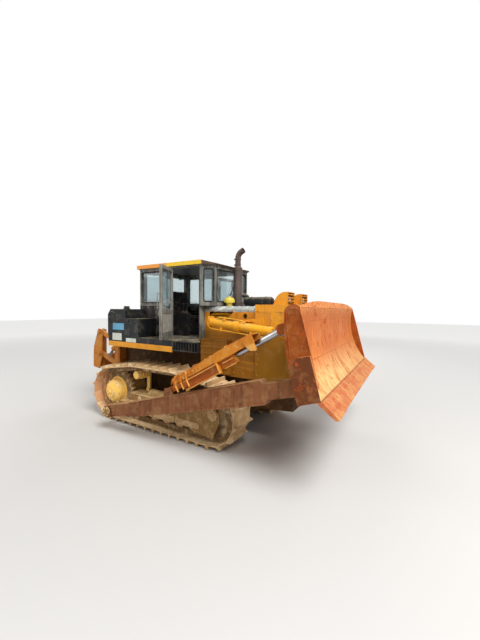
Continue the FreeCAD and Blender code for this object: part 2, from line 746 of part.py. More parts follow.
# Radiator guard: a plate box, open behind and with a framed opening in front
guardHalf = S.guardHalf
wall = S.guardWall
grilleHalf = guardHalf - 140
grilleLow = S.hullBonnet + 170
grilleHigh = S.guardTop - 160
guardRoom = [
    box("GuardRoom", (S.hullFront - 10, S.guardFront - wall), (-guardHalf + wall, guardHalf - wall),
        (S.hullBonnet + wall, S.guardTop - wall)),
    box("GuardOpening", (S.guardFront - 40, S.guardFront + 10), (-grilleHalf, grilleHalf),
        (grilleLow, grilleHigh)),
]
guard = cut("Guard", box("GuardPlates", (S.hullFront, S.guardFront), (-guardHalf, guardHalf),
                         (S.hullBonnet, S.guardTop)), guardRoom)
onHull("radiator_guard", guard)
onHull("radiator_core", together("Radiator", [
    box("RadiatorCore", (S.guardFront - 470, S.guardFront - 350), (60 - guardHalf, guardHalf - 60),
        (S.hullBonnet + wall, S.guardTop - 100))]))
bars = []
for number in range(9):
    place = -480 + 120 * number
    bars.append(box(f"GrilleBar{number}", (S.guardFront - wall, S.guardFront), (place - 8, place + 8),
                    (grilleLow, grilleHigh)))
for number in range(3):
    height = grilleLow + 240 + 270 * number
    bars.append(box(f"GrilleCross{number}", (S.guardFront - wall + 4, S.guardFront - 4),
                    (-grilleHalf, grilleHalf), (height - 10, height + 10)))
onHull("front_grille", fused("Grille", bars))

# Lamp guards: side plates with a rounded back, a curved cover between them and front bars
lampFront = S.guardFront - S.lampBack
lampRear = lampFront - 262
lampTop = S.guardTop + 220
lampMiddle = S.lampMiddle
earOutline = [(lampRear, S.guardTop), (lampFront, S.guardTop), (lampFront, lampTop),
              (lampFront - 80, lampTop, 235)]
coverOutline = [(lampRear, S.guardTop), (lampRear + 14, S.guardTop, -223),
                (lampFront - 80, lampTop - 14), (lampFront, lampTop - 14),
                (lampFront, lampTop), (lampFront - 80, lampTop, 235)]
guardPieces = [prism("LampCover", "XZ", coverOutline, -lampMiddle - 150, -lampMiddle + 150)]
for number, low in enumerate((-lampMiddle - 162, -lampMiddle + 150)):
    guardPieces.append(prism(f"LampEar{number}", "XZ", earOutline, low, low + 12))
for number in range(3):
    height = S.guardTop + 60 + 55 * number
    guardPieces.append(box(f"LampBar{number}", (lampFront - 14, lampFront),
                           (-lampMiddle - 150, -lampMiddle + 150), (height, height + 16)))
onHull("lamp_guards", bothSides("LampGuards", fused("RightLampGuard", guardPieces)))
lampProfile = [(0, 0), (0, 45), (30, 66), (100, 70), (100, 64), (106, 60), (112, 0)]
lamp = fused("RightLamp", [
    turned("LampPot", "x", (lampFront - 150, -lampMiddle, S.guardTop + 95), lampProfile),
    box("LampFoot", (lampFront - 105, lampFront - 75), (-lampMiddle - 22, -lampMiddle + 22),
        (S.guardTop, S.guardTop + 60))])
onHull("head_lamps", bothSides("HeadLamps", lamp))

# Exhaust: a fat lower stack, a thin pipe and a bend that points forwards
stackX = 2520
stackY = -70
bendRadius = 150
pipeRadius = 58
bendTurn = 62
stackProfile = [(0, 50), (0, 120), (12, 120), (12, 92), (790, 92), (830, pipeRadius),
                (985, pipeRadius), (985, 50)]
stack = turned("StackPipe", "z", (stackX, stackY, S.bonnetTop), stackProfile)
bendStart = Vector(0, 0, float(S.bonnetTop) + 985)
ring = Part.Face(Part.Wire(Part.Circle(bendStart, Vector(0, 0, 1), pipeRadius).toShape()))
hole = Part.Face(Part.Wire(Part.Circle(bendStart, Vector(0, 0, 1), 50).toShape()))
ring = ring.cut(hole)
pivot = bendStart + Vector(bendRadius, 0, 0)
bend = ring.revolve(pivot, Vector(0, 1, 0), bendTurn)
mouth = ring.copy()
mouth.rotate(pivot, Vector(0, 1, 0), bendTurn)
way = Vector(math.sin(math.radians(bendTurn)), 0, math.cos(math.radians(bendTurn)))
elbow = shaped("StackBend", bend.fuse(mouth.extrude(way * 60)))
moveTo(elbow, stackX, stackY, 0)
onHull("exhaust_stack", fused("Exhaust", [stack, elbow]))

bowlProfile = [(0, 0), (0, 54), (64, 54), (74, 98), (80, 102), (136, 102), (164, 88), (182, 54),
               (188, 0)]
onHull("precleaner", together("Precleaner", [
    turned("PrecleanerBowl", "z", (2480, -322, S.bonnetTop), bowlProfile)]))

canProfile = [(0, 0), (0, 84), (12, 96), (40, 96), (40, 102), (56, 102), (56, 96), (590, 96),
              (618, 80), (625, 0)]
can = turned("CleanerCan", "x", (2555, 205, S.bonnetTop + 112), canProfile)
saddles = [box(f"Saddle{number}", (place, place + 40), (205 - 75, 205 + 75),
               (S.bonnetTop, S.bonnetTop + 60)) for number, place in enumerate((2680, 3020))]
onHull("air_cleaner", fused("AirCleaner", [can] + saddles))

# Cab: a hollow body with a wide nose over the bonnet; windows and door openings go right through
cabHalf = S.cabHalf
wall = S.cabWall


def cabPlan(inset, grow=0):
    # The cab's outline from above, drawn in by a wall
    corner = inset * 0.4
    return [(S.cabRear + inset, -cabHalf + inset), (S.cabCorner - corner, -cabHalf + inset),
            (S.cabNose - inset, -S.cabNoseHalf + corner), (S.cabNose - inset, S.cabNoseHalf - corner),
            (S.cabCorner - corner, cabHalf - inset), (S.cabRear + inset, cabHalf - inset)]


cabBody = fused("CabOuter", [
    box("CabLower", (S.cabRear, S.bonnetRear), (-cabHalf, cabHalf), (S.cabFloor, S.cabSill)),
    prism("CabUpper", "XY", cabPlan(asSize(0)), S.cabSill, S.cabTop)])
cabRoom = fused("CabRoom", [
    box("CabRoomLower", (S.cabRear + wall, S.bonnetRear - wall), (-cabHalf + wall, cabHalf - wall),
        (S.cabFloor - 10, S.cabSill + wall + 5)),
    prism("CabRoomUpper", "XY", cabPlan(wall), S.cabSill + wall, S.cabTop + 10)])
windowLow = S.cabSill + 80
windowHigh = S.cabTop - 75
rearPane = (S.cabRear + 60, S.doorRear - 120)
cornerRun = Vector(float(S.cabNose - S.cabCorner), float(S.cabHalf - S.cabNoseHalf), 0)
cornerLength = cornerRun.Length
cornerWay = cornerRun.normalize()
cornerOut = Vector(cornerWay.y, -cornerWay.x, 0)
cornerStart = Vector(float(S.cabCorner), -float(cabHalf), 0)


def cornerBlock(name, inward, outward, low, high):
    # A block in the right corner wall, from one depth to another
    points = [cornerStart + cornerWay * along + cornerOut * depth
              for along, depth in ((38, outward), (cornerLength - 38, outward),
                                   (cornerLength - 38, -inward), (38, -inward))]
    return prism(name, "XY", [(point.x, point.y) for point in points], low, high)


cornerHole = cornerBlock("CornerHole", 80, 20, windowLow, windowHigh)
cabHoles = [
    box("RearSideHole", rearPane, (-cabHalf - 10, cabHalf + 10), (windowLow - 20, windowHigh)),
    box("DoorHole", (S.doorRear, S.doorFront), (-cabHalf - 10, cabHalf + 10),
        (S.doorSill, S.doorHead)),
    box("BackHole", (S.cabRear - 10, S.cabRear + wall + 10), (-640, 640), (windowLow - 60, windowHigh)),
    box("FrontHole", (S.cabNose - wall - 10, S.cabNose + 10), (-S.cabNoseHalf + 60, S.cabNoseHalf - 60),
        (windowLow, windowHigh)),
    cornerHole, mirrored(cornerHole)]
gap = S.doorGap
hingeX = S.doorRear - 8
hingeY = cabHalf + S.hingeStand
hingeHeights = (S.doorSill + 170, S.doorHead - 170)
cabKnuckles = []
for number, height in enumerate(hingeHeights):
    cabKnuckles.append(rod(f"CabKnuckle{number}", "z", (hingeX, -hingeY, height + S.fit), S.knuckle, 60))
    cabKnuckles.append(box(f"CabHingeLeaf{number}", (hingeX - S.knuckle, hingeX + 8 - S.fit),
                           (-hingeY, -cabHalf), (height + S.fit, height + 60)))
cabHinges = fused("CabHinges", cabKnuckles)
cabShell = cut("CabPierced", cut("CabShell", cabBody, [cabRoom]), [fused("CabHoles", cabHoles)])
onHull("cab_frame", fused("CabFrame", [cabShell, cabHinges, mirrored(cabHinges)]))
onHull("cab_floor", together("CabFloor", [
    box("CabFloorPlate", (S.cabRear, S.bonnetRear), (-cabHalf, cabHalf), (S.hullDeck, S.cabFloor))]))

glass = S.glassThick
sidePane = box("RearSidePane", rearPane, (-cabHalf + 22, -cabHalf + 22 + glass),
               (windowLow - 20, windowHigh))
cornerPane = cornerBlock("CornerPane", 28, -22, windowLow, windowHigh)
onHull("cab_glass", together("CabGlass", [
    sidePane, mirrored(sidePane), cornerPane, mirrored(cornerPane),
    box("BackPane", (S.cabRear + 22, S.cabRear + 22 + glass), (-640, 640), (windowLow - 60, windowHigh)),
    box("FrontPane", (S.cabNose - 28, S.cabNose - 28 + glass),
        (-S.cabNoseHalf + 60, S.cabNoseHalf - 60), (windowLow, windowHigh))]))

roofPlan = [(S.cabRear - 45, -cabHalf - 50), (S.cabCorner + 20, -cabHalf - 50),
            (S.cabNose + 45, -S.cabNoseHalf - 20), (S.cabNose + 45, S.cabNoseHalf + 20),
            (S.cabCorner + 20, cabHalf + 50), (S.cabRear - 45, cabHalf + 50)]
roofSide = [(S.cabRear - 60, S.cabTop), (S.cabNose + 60, S.cabTop), (S.cabNose + 60, S.roofTop - 60),
            (S.cabCorner, S.roofTop), (S.cabRear - 60, S.roofTop)]
roof = doc.addObject("Part::Common", "Roof")
roof.Base = prism("RoofPlan", "XY", roofPlan, S.cabTop, S.roofTop)
roof.Tool = prism("RoofSide", "XZ", roofSide, -cabHalf - 60, cabHalf + 60)
onHull("cab_roof", roof)

# Inside the cab: seat on its pedestal, dash and side consoles with their levers
seatX = 900
onHull("seat_base", together("SeatBase", [
    box("Pedestal", (seatX + 20, seatX + 440), (-190, 190), (S.cabFloor, S.cabFloor + 290))]))
seatLow = S.cabFloor + 290 + S.fit
cushionSide = [(seatX - 60, seatLow), (seatX + 500, seatLow), (seatX + 520, seatLow + 110),
               (seatX + 100, seatLow + 130), (seatX + 10, seatLow + 730), (seatX - 90, seatLow + 730),
               (seatX - 40, seatLow + 120)]
onHull("seat_cushion", together("SeatCushion", [prism("Cushion", "XZ", cushionSide, -240, 240)]))
controls = [box("Dash", (S.bonnetRear - wall - 110, S.bonnetRear - wall), (-320, 320),
                (S.cabFloor, S.cabSill + 15))]
consoleTop = S.cabFloor + 490
for number, side in enumerate((-1, 1)):
    low, high = sorted((side * 290, side * 420))
    controls.append(box(f"Console{number}", (seatX - 50, seatX + 560), (low, high),
                        (S.cabFloor, consoleTop)))
    for lever in range(2):
        controls.append(rod(f"Lever{number}{lever}", "z",
                            (seatX + 400 + 90 * lever, side * 355, consoleTop), 11, 170))
onHull("controls", fused("Controls", controls))

# Doors, drawn shut and hinged on their rear edge
doorOutline = [(S.doorRear + gap - hingeX, S.doorSill + gap), (S.doorFront - gap - hingeX, S.doorSill + gap),
               (S.doorFront - gap - hingeX, S.doorHead - gap), (S.doorRear + gap - hingeX, S.doorHead - gap)]
doorInner = hingeY - cabHalf + S.doorThick


def door(side, openDegrees, sign):
    # The leaf lies inside the wall; sign is -1 on the right and 1 on the left
    near, far = sorted((-sign * (hingeY - cabHalf), -sign * doorInner))
    left = doorOutline[0][0]
    right = doorOutline[1][0]
    low = doorOutline[0][1]
    high = doorOutline[2][1]
    leaf = prism(f"Leaf{side}", "XZ", doorOutline, near, far)
    panes = [((left + 55, right - 55), (low + 560, high - 60)),
             ((left + 55, right - 55), (low + 130, low + 490))]
    holes = [box(f"LeafHole{side}{number}", across, (near - 10, far + 10), up)
             for number, (across, up) in enumerate(panes)]
    middle = (near + far) * 0.5
    knuckles = [leaf]
    for number, height in enumerate(hingeHeights):
        knuckles.append(rod(f"DoorKnuckle{side}{number}", "z", (0, 0, height - 60), S.knuckle, 60))
        strapEnds = sorted((asSize(0), -sign * S.hingeStand))
        knuckles.append(box(f"DoorStrap{side}{number}", (0, 90), strapEnds, (height - 60, height)))
    handleY = -sign * (S.hingeStand - 46)
    knuckles.append(rod(f"Handle{side}", "z", (right - 30, handleY, low + 560), 10, 300))
    for number, height in enumerate((low + 575, low + 830)):
        ends = sorted((handleY, -sign * S.hingeStand))
        knuckles.append(box(f"HandleFoot{side}{number}", (right - 38, right - 22), ends, (height, height + 16)))
    frame = cut(f"Door{side}", fused(f"DoorSolid{side}", knuckles), holes)
    panesMade = [box(f"Pane{side}{number}", across, (middle - glass * 0.5, middle + glass * 0.5), up)
                 for number, (across, up) in enumerate(panes)]
    for label, piece in ((f"door_{side}", frame), (f"door_{side}_glass", together(f"Glass{side}", panesMade))):
        piece.Label = label
        piece.Placement = Placement(Vector(), Rotation(Vector(0, 0, 1), sign * float(openDegrees)))
        moveTo(piece, S.axleStation + hingeX, sign * hingeY, 0)
        nodes.append(piece)


door("right", S.doorOpenRight, -1)
door("left", S.doorOpenLeft, 1)

# Fenders: deck with a slotted front step, dark side band and gussets from the main frame
edge = -S.fenderEdge
deckLow = S.cabFloor - S.fenderPlate
bandLow = S.cabFloor - S.bandDepth
combLow = deckLow - S.combDepth
deckPlan = [(S.fenderRear, edge), (S.fenderFront, edge), (S.fenderFront, edge + 70),
            (S.bonnetRear, -cabHalf), (S.fenderRear, -cabHalf)]
slots = [box(f"StepSlot{number}", (S.combStart + 60 + 78 * number, S.combStart + 100 + 78 * number),
             (edge + 40, edge + 250 - 38 * number), (deckLow - 10, S.cabFloor + 10)) for number in range(5)]
fenderPieces = [
    cut("StepDeck", prism("FenderDeck", "XY", deckPlan, deckLow, S.cabFloor), slots),
    box("FenderBand", (S.fenderRear, S.combStart), (edge, edge + 20), (bandLow, deckLow)),
    box("FenderTail", (S.fenderRear, S.fenderRear + 20), (edge, -cabHalf), (bandLow, deckLow)),
    box("CombRail", (S.combStart - 20, S.fenderFront), (edge, edge + 16), (combLow, combLow + 14)),
]
for number in range(10):
    place = S.combStart - 20 + 64 * number
    fenderPieces.append(box(f"CombBar{number}", (place, place + 14), (edge, edge + 60), (combLow, deckLow)))
for number, place in enumerate((150, 900, 1650)):
    gusset = [(-S.hullHalf, S.hullDeck), (-S.hullHalf, 1500), (-S.hullHalf - 60, 1500),
              (edge + 20, deckLow - 60), (edge + 20, deckLow), (-cabHalf, deckLow), (-cabHalf, S.hullDeck)]
    fenderPieces.append(prism(f"Gusset{number}", "YZ", gusset, place, place + 20))
onHull("fenders", bothSides("Fenders", fused("RightFender", fenderPieces)))
onHull("fender_strips", bothSides("FenderStrips", box(
    "FenderStrip", (S.fenderRear, S.combStart - 30), (edge, edge + 20), (bandLow - S.stripDepth, bandLow))))

tankTop = S.hullDeck + 610
tankSide = [(-330, S.hullDeck), (S.cabRear - 10, S.hullDeck), (S.cabRear - 10, tankTop),
            (-130, tankTop, 200), (-330, tankTop - 200)]
onHull("fuel_tank", together("FuelTank", [prism("FuelTankBody", "XZ", tankSide, -780, 780)]))
oilSide = [(-30, S.cabFloor), (S.cabRear + 100, S.cabFloor), (S.cabRear + 100, tankTop), (60, tankTop),
           (-30, tankTop - 110)]
onHull("hydraulic_tank", together("OilTank", [
    prism("OilTankBody", "XZ", oilSide, edge, -cabHalf)]))
boxFront = S.cabRear + 490
boxLid = S.cabFloor + 380
boxSide = [(-30, S.cabFloor), (boxFront, S.cabFloor), (boxFront, boxLid - 20), (boxFront - 40, boxLid),
           (10, boxLid), (-30, boxLid - 40)]
onHull("battery_boxes", together("BatteryBoxes", [
    prism("LeftBox", "XZ", boxSide, cabHalf, S.fenderEdge),
    box("RightBox", (S.cabRear + 100 + S.fit, boxFront), (edge, -cabHalf), (S.cabFloor, boxLid - 10))]))

# Lift cylinders: yokes on the radiator guard hold gimbal blocks, which turn about upright pins;
# the barrels hang on level pins in the blocks and the rods go to the blade
liftPin = raised(S.liftPinX, S.liftPinZ)
liftLength, liftSlope = bearing((S.yokeX, S.yokeZ), liftPin)
yokePlate = 14
yokeEnd = S.hullFront + 180
upright = guardHalf + S.gimbalAxis
blockInner = guardHalf + 24
blockOuter = guardHalf + 95
block = S.gimbalHalf
yokeOutline = [(S.yokeX - 95, S.yokeZ - 105), (yokeEnd, S.yokeZ - 150), (yokeEnd, S.yokeZ + 150),
               (S.yokeX - 95, S.yokeZ + 105)]
lugPlan = [(S.yokeX - 95, -guardHalf), (S.yokeX - 70, -blockOuter), (S.yokeX + 70, -blockOuter),
           (yokeEnd - 160, -guardHalf)]
lugs = [prism(f"YokeLug{number}", "XY", lugPlan, low, low + 26, [(S.yokeX, -upright, S.gimbalPin + S.fit)])
        for number, low in enumerate((S.yokeZ - block - 31, S.yokeZ + block + 5))]
onHull("lift_yokes", bothSides("Yokes", fused("Yoke", [
    prism("YokeBase", "XZ", yokeOutline, -guardHalf - yokePlate, -guardHalf)] + lugs)))


def rightAndLeft(label, piece, x, z, degrees):
    # The right piece on its pin and the left one as its mirror image
    onPivot(label + "_right", piece, x, z, degrees)
    left = mirrored(piece)
    left.Label = label + "_left"
    nodes.append(left)


gimbalBlock = box("GimbalBlock", (-block, block), (-blockOuter, -blockInner), (-block, block))
gimbalPins = [rod(f"GimbalPin{number}", "z", (0, -upright, low), S.gimbalPin, 36)
              for number, low in enumerate((-block - 34, block - 2))]
gimbal = cut("Gimbal", fused("GimbalSolid", [gimbalBlock] + gimbalPins), [
    rod("GimbalBore", "y", (0, -blockOuter - 10, 0), S.trunnionStub + S.fit, 100)])
rightAndLeft("lift_gimbal", gimbal, S.yokeX, S.yokeZ, 0)

bore = S.liftRod + S.fit
barrel = S.liftBarrel
barrelProfile = [(-600, 0), (-600, 66), (-585, barrel + 4), (-550, barrel + 4), (-540, barrel),
                 (-55, barrel), (-55, 98), (55, 98), (55, barrel), (600, barrel), (600, barrel + 9),
                 (676, barrel + 9), (684, 60), (684, bore), (-570, bore), (-570, 0)]
barrelSide = -S.liftCentre
rearFlange = [(barrelSide - 86, -60), (barrelSide - 60, -104), (barrelSide + 60, -104), (barrelSide + 86, -60),
              (barrelSide + 86, 60), (barrelSide + 60, 104), (barrelSide - 60, 104), (barrelSide - 86, 60)]
liftBarrel = fused("LiftBarrel", [
    turned("LiftTube", "x", (0, barrelSide, 0), barrelProfile),
    prism("LiftFlange", "YZ", rearFlange, -600, -572),
    rod("LiftTrunnion", "y", (0, barrelSide + 70, 0), S.trunnionStub, S.liftCentre - 70 - blockInner)])
rightAndLeft("lift_barrel", liftBarrel, S.yokeX, S.yokeZ, liftSlope)
liftRod = fused("LiftRod", [
    rod("LiftRodBar", "x", (-535, barrelSide, 0), S.liftRod, liftLength + 515),
    rod("LiftEye", "y", (liftLength, barrelSide - 40, 0), 66, 80),
    rod("LiftEyePin", "y", (liftLength, barrelSide - 50, 0), 34, 100)])
rightAndLeft("lift_rod", liftRod, S.yokeX, S.yokeZ, liftSlope)


def onBlade(label, piece):
    # A node drawn level about the trunnion, raised with the blade
    return onPivot(label, piece, S.trunnionX, S.trunnionZ, S.liftAngle)


# Push arms: deep boxes with narrower ends
armOutline = [(-100, -115), (640, -125), (S.armMainStart, -S.armRearFoot), (S.armMainEnd, -S.armFoot),
              (S.armMainEnd + 30, S.ballHeight - 108), (S.ballReach + 25, S.ballHeight - 108),
              (S.ballReach + 25, S.ballHeight + 108), (S.armMainEnd + 30, S.ballHeight + 108),
              (S.armMainEnd, S.armTop), (S.armMainStart, S.armRearTop), (640, 92), (-100, 112)]
trunnionHole = [(0, 0, S.trunnionPin + S.swivelRoom)]


def armEdge(x):
    # The upper edge of the arm's deep part
    share = (x - S.armMainStart) / (S.armMainEnd - S.armMainStart)
    return S.armRearTop + (S.armTop - S.armRearTop) * share


def tiltEar(name, y, low, high):
    # One ear of the clevis on top of an arm
    foot = armEdge(S.tiltPinX) - 12
    outline = [(S.tiltPinX - 120, foot), (S.tiltPinX + 110, foot), (S.tiltPinX + 60, S.tiltPinZ + 58),
               (S.tiltPinX - 62, S.tiltPinZ + 58)]
    return prism(name, "XZ", outline, y + low, y + high)


def pushArm(name, y):
    arm = prism(name + "Beam", "XZ", armOutline, y - S.armHalf, y + S.armHalf, trunnionHole)
    pieces = [arm]
    for number, (low, high) in enumerate(((-82, -52), (52, 82))):
        pieces.append(tiltEar(f"{name}Ear{number}", y, low, high))
    pieces.append(rod(name + "Pin", "y", (S.tiltPinX, y - 90, S.tiltPinZ), S.clevisPin, 180))
    pieces.append(globe(name + "PinBall", (S.tiltPinX, y, S.tiltPinZ), S.clevisBall))
    sockets = [globe(name + "Rear", (0, y, 0), S.trunnionBall + S.fit)]
    if float(y) < 0:
        # A round slot across the arm, open in front; its cheeks bear on the ball
        reach = S.ballRadius + S.fit
        sockets.append(rod(name + "Front", "y", (S.ballReach, y - reach, S.ballHeight),
                           S.ballRadius + S.ballRoom, reach * 2))
    return cut(name, fused(name + "Solid", pieces), sockets)


rightArm = -S.armCentre
onBlade("push_arm_right", pushArm("RightArm", rightArm))
onBlade("push_arm_left", pushArm("LeftArm", S.armCentre))

# Blade: curved face plate with two boxes and ribs behind it, end plates and a crowned top
bladeHalf = S.bladeHalf
faceHalf = bladeHalf - S.endBox
foot = S.bladeFoot
top = foot + 10
plate = S.bladePlate
facePlate = [(foot, S.bladeSeam, -S.bladeCurve), (top, S.bladeTop),
             (top - plate, S.bladeTop + 2, S.bladeCurve + plate), (foot - plate, S.bladeSeam)]
lowerBox = [(foot - 28, S.bladeSeam + 10), (foot - 135, 150), (foot - 280, 150), (foot - 300, -100),
            (foot - 140, S.bladeSeam)]
upperBox = [(foot - 90, 760), (foot - 2, S.bladeTop - 5), (foot - 180, S.bladeTop + 10), (foot - 215, 760)]
rib = [(foot - 140, 140), (foot - 150, 400), (foot - 140, 560), (foot - 90, 765), (foot - 215, 770),
       (foot - 280, 140)]
endPlate = [(foot, S.bladeSeam), (top, S.bladeTop + 5, 125), (foot - 194, S.bladeTop + 5, 2600),
            (foot - 300, -100), (foot - 140, S.bladeSeam)]
endBoxSide = [(foot, S.bladeSeam), (foot, 370), (foot - 165, 372), (foot - 300, 262),
              (foot - 300, S.bladeSeam - 15), (foot - 62, S.bladeSeam)]
flat = faceHalf * 0.42
crownDrop = S.bladeCrown - S.bladeTop - 8
crownRun = faceHalf - flat
crownRadius = (crownRun * crownRun + crownDrop * crownDrop) / (crownDrop * 2)
crown = [(-faceHalf, S.bladeTop - 4), (faceHalf, S.bladeTop - 4),
         (faceHalf, S.bladeTop + 8, crownRadius), (flat, S.bladeCrown),
         (-flat, S.bladeCrown, crownRadius), (-faceHalf, S.bladeTop + 8)]
inside = faceHalf - 24
bladePieces = [
    prism("BladeFace", "XZ", facePlate, -inside, inside),
    prism("BladeLowerBox", "XZ", lowerBox, -inside, inside),
    prism("BladeUpperBox", "XZ", upperBox, -inside, inside),
    prism("BladeCrown", "YZ", crown, top - plate, top),
]
for number, (low, high) in enumerate(((-faceHalf, -inside), (inside, faceHalf))):
    bladePieces.append(prism(f"BladeEnd{number}", "XZ", endPlate, low, high))
for number, (low, high) in enumerate(((-bladeHalf, -inside), (inside, bladeHalf))):
    bladePieces.append(prism(f"BladeEndBox{number}", "XZ", endBoxSide, low, high))
for number, place in enumerate((-1250, -400, 0, 400, 1250)):
    bladePieces.append(prism(f"BladeRib{number}", "XZ", rib, place - 11, place + 11))


def bladeEars(name, y, x, z, spread, low):
    # Clevis ears on the blade's back round a cylinder's eye
    made = []
    outline = [(x - 62, z - 55), (x + 40, z - 72), (foot - 130, z - low), (foot - 118, z + 90),
               (x - 20, z + 76), (x - 62, z + 45)]
    for number, (near, far) in enumerate(((-spread - 26, -spread), (spread, spread + 26))):
        made.append(prism(f"{name}{number}", "XZ", outline, y + near, y + far))
    return made


for number, y in enumerate((-S.liftCentre, S.liftCentre)):
    bladePieces += bladeEars(f"LiftEar{number}", y, S.liftPinX, S.liftPinZ, 95, 250)
for number, y in enumerate((-S.armCentre, S.armCentre)):
    bladePieces += bladeEars(f"TiltEar{number}", y, S.tiltEyeX, S.tiltEyeZ, 60, 130)
bladePieces += [globe("ArmBall", (S.ballReach, rightArm, S.ballHeight), S.ballRadius),
                rod("BallStalk", "x", (S.ballReach, rightArm, S.ballHeight), 44, 110),
                box("LeftArmSeat", (S.ballReach + 25, foot - 250), (S.armCentre - 130, S.armCentre + 130),
                    (S.ballHeight - 105, S.ballHeight + 145))]
onBlade("blade_moldboard", fused("Moldboard", bladePieces))

# Cutting edge: a long bar and a thicker end bit at each end
edgeX = S.edgeReach


def edgeSide(proud):
    # The edge's section; proud is how far its face stands out
    back = S.edgeThick + 8
    return [(foot, S.bladeSeam), (foot + proud, S.bladeSeam), (foot + edgeX + proud, S.bladeSeam - S.edgeDrop),
            (foot + edgeX - S.edgeThick, S.bladeSeam - S.edgeDrop), (foot - back, S.bladeSeam - 20),
            (foot - back, S.bladeSeam)]


barHalf = bladeHalf - S.endBit
edgePieces = [prism("EdgeBar", "XZ", edgeSide(asSize(4)), -barHalf, barHalf)]
for number, (low, high) in enumerate(((-bladeHalf, -barHalf - S.fit), (barHalf + S.fit, bladeHalf))):
    edgePieces.append(prism(f"EndBit{number}", "XZ", edgeSide(asSize(14)), low, high))
onBlade("cutting_edge", together("CuttingEdge", edgePieces))

# Fixed brace on the left, tilt cylinder on the right
tiltLength, tiltSlope = bearing((S.tiltPinX, S.tiltPinZ), (S.tiltEyeX, S.tiltEyeZ))
tiltX, tiltZ = raised(S.tiltPinX, S.tiltPinZ)
tiltAngle = S.liftAngle + tiltSlope
leftArm = S.armCentre


def clevisSocket(name, y):
    # The hollow of an eye that turns on a clevis ball, and the way through for its pin
    return [globe(name + "Socket", (0, y, 0), S.clevisBall + S.fit),
            rod(name + "PinWay", "y", (0, y - 60, 0), S.clevisPin + 4, 120)]


brace = cut("Brace", fused("BraceSolid", [
    rod("BraceTube", "x", (200, leftArm, 0), 56, tiltLength - 315),
    box("BraceRearShank", (0, 220), (leftArm - 46, leftArm + 46), (-44, 50)),
    box("BraceFrontShank", (tiltLength - 140, tiltLength), (leftArm - 46, leftArm + 46), (-50, 50)),
    rod("BraceRear", "y", (0, leftArm - 46, 0), 56, 92),
    rod("BraceFront", "y", (tiltLength, leftArm - 46, 0), 62, 92),
    rod("BraceFrontPin", "y", (tiltLength, leftArm - 60, 0), 34, 120)]), clevisSocket("Brace", leftArm))
onPivot("blade_brace", brace, tiltX, tiltZ, tiltAngle)

tiltBore = S.tiltRod + S.fit
tube = S.tiltBarrel
tiltTube = [(330, 0), (330, tube), (1440, tube), (1440, tube + 12), (1490, tube + 12), (1496, 70),
            (1496, tiltBore), (700, tiltBore), (700, 0)]
# Guards round the tilt cylinder: a folded cover over it, open channels along its outer side,
# a deeper cover near its front and a cheek plate that hangs there
cover = [(rightArm - 120, 40), (rightArm - 120, 138), (rightArm + 120, 138), (rightArm + 120, 40),
         (rightArm + 108, 40), (rightArm + 108, 126), (rightArm - 108, 126), (rightArm - 108, 40)]
frontCover = [(rightArm - 134, 22), (rightArm - 134, 152), (rightArm + 134, 152), (rightArm + 134, 22),
              (rightArm + 119, 22), (rightArm + 119, 137), (rightArm - 119, 137), (rightArm - 119, 22)]


def channelSection(low, high):
    # A channel that opens outwards, its web against the tube
    web = rightArm - 100
    lip = rightArm - 152
    return [(web + 14, low), (web + 14, high), (lip, high), (lip, high - 13), (web, high - 13), (web, low + 13),
            (lip, low + 13), (lip, low)]


cheek = [(1740, 60), (1800, -60), (1880, -95), (1905, -80), (1900, 140), (1740, 140)]
tiltBarrelSolid = cut("TiltBarrel", fused("TiltBarrelOuter", [
    turned("TiltTube", "x", (0, rightArm, 0), tiltTube),
    box("TiltShank", (0, 360), (rightArm - 44, rightArm + 44), (-44, 56)),
    rod("TiltRearEye", "y", (0, rightArm - 44, 0), 56, 88),
    prism("TiltCover", "YZ", cover, 215, 1300),
    prism("TiltFrontCover", "YZ", frontCover, 1150, 1905),
    box("TiltCoverWeb", (330, 1380), (rightArm - 12, rightArm + 12), (70, 130)),
    prism("LongChannel", "YZ", channelSection(-138, 10), 470, 1195),
    box("ChannelEnd", (1183, 1195), (rightArm - 160, rightArm - 80), (-146, 20)),
    prism("ShortChannel", "YZ", channelSection(-120, -24), 1300, 1490),
    prism("HangingCheek", "XZ", cheek, rightArm - 150, rightArm - 134),
    box("CheekFoot", (1740, 1905), (rightArm - 136, rightArm - 118), (22, 140)),
]), clevisSocket("Tilt", rightArm))
onPivot("tilt_cylinder_barrel", tiltBarrelSolid, tiltX, tiltZ, tiltAngle)
tiltRodSolid = fused("TiltRodSolid", [
    rod("TiltRodBar", "x", (770, rightArm, 0), S.tiltRod, tiltLength - 790),
    rod("TiltEye", "y", (tiltLength, rightArm - 40, 0), 64, 80),
    rod("TiltEyePin", "y", (tiltLength, rightArm - 52, 0), 34, 104)])
onPivot("tilt_cylinder_rod", tiltRodSolid, tiltX, tiltZ, tiltAngle)

# Ripper: two pairs of links on a bracket behind the hull carry a beam with three pockets
ripX = S.ripperHull
linkEndX = ripX - S.ripperLink * cosine(S.ripperRaise)
linkRise = S.ripperLink * sine(S.ripperRaise)
lowEnd = S.ripperLow + linkRise
highEnd = S.ripperHigh + linkRise
ripPlates = ((-672, -642), (-558, -528))
ramPlates = ((-490, -466), (-374, -350))
ramX = ripX
ramZ = 1850
bracketOutline = [(S.hullRear - 30, 900), (S.hullRear - 30, 1960), (ramX - 40, 1960), (ramX - 75, 1900), (ramX - 75, 930),
                  (ramX - 40, 900)]
bracketPieces = [box("RipperBack", (S.hullRear - 30, S.hullRear), (-672, 0), (900, ramZ + 100))]
ramEar = [(S.hullRear - 30, 1700), (S.hullRear - 30, 1960), (ramX - 40, 1930), (ramX - 70, 1850), (ramX - 60, 1790)]
for number, (low, high) in enumerate(ripPlates):
    bracketPieces.append(prism(f"RipperPlate{number}", "XZ", bracketOutline, low, high))
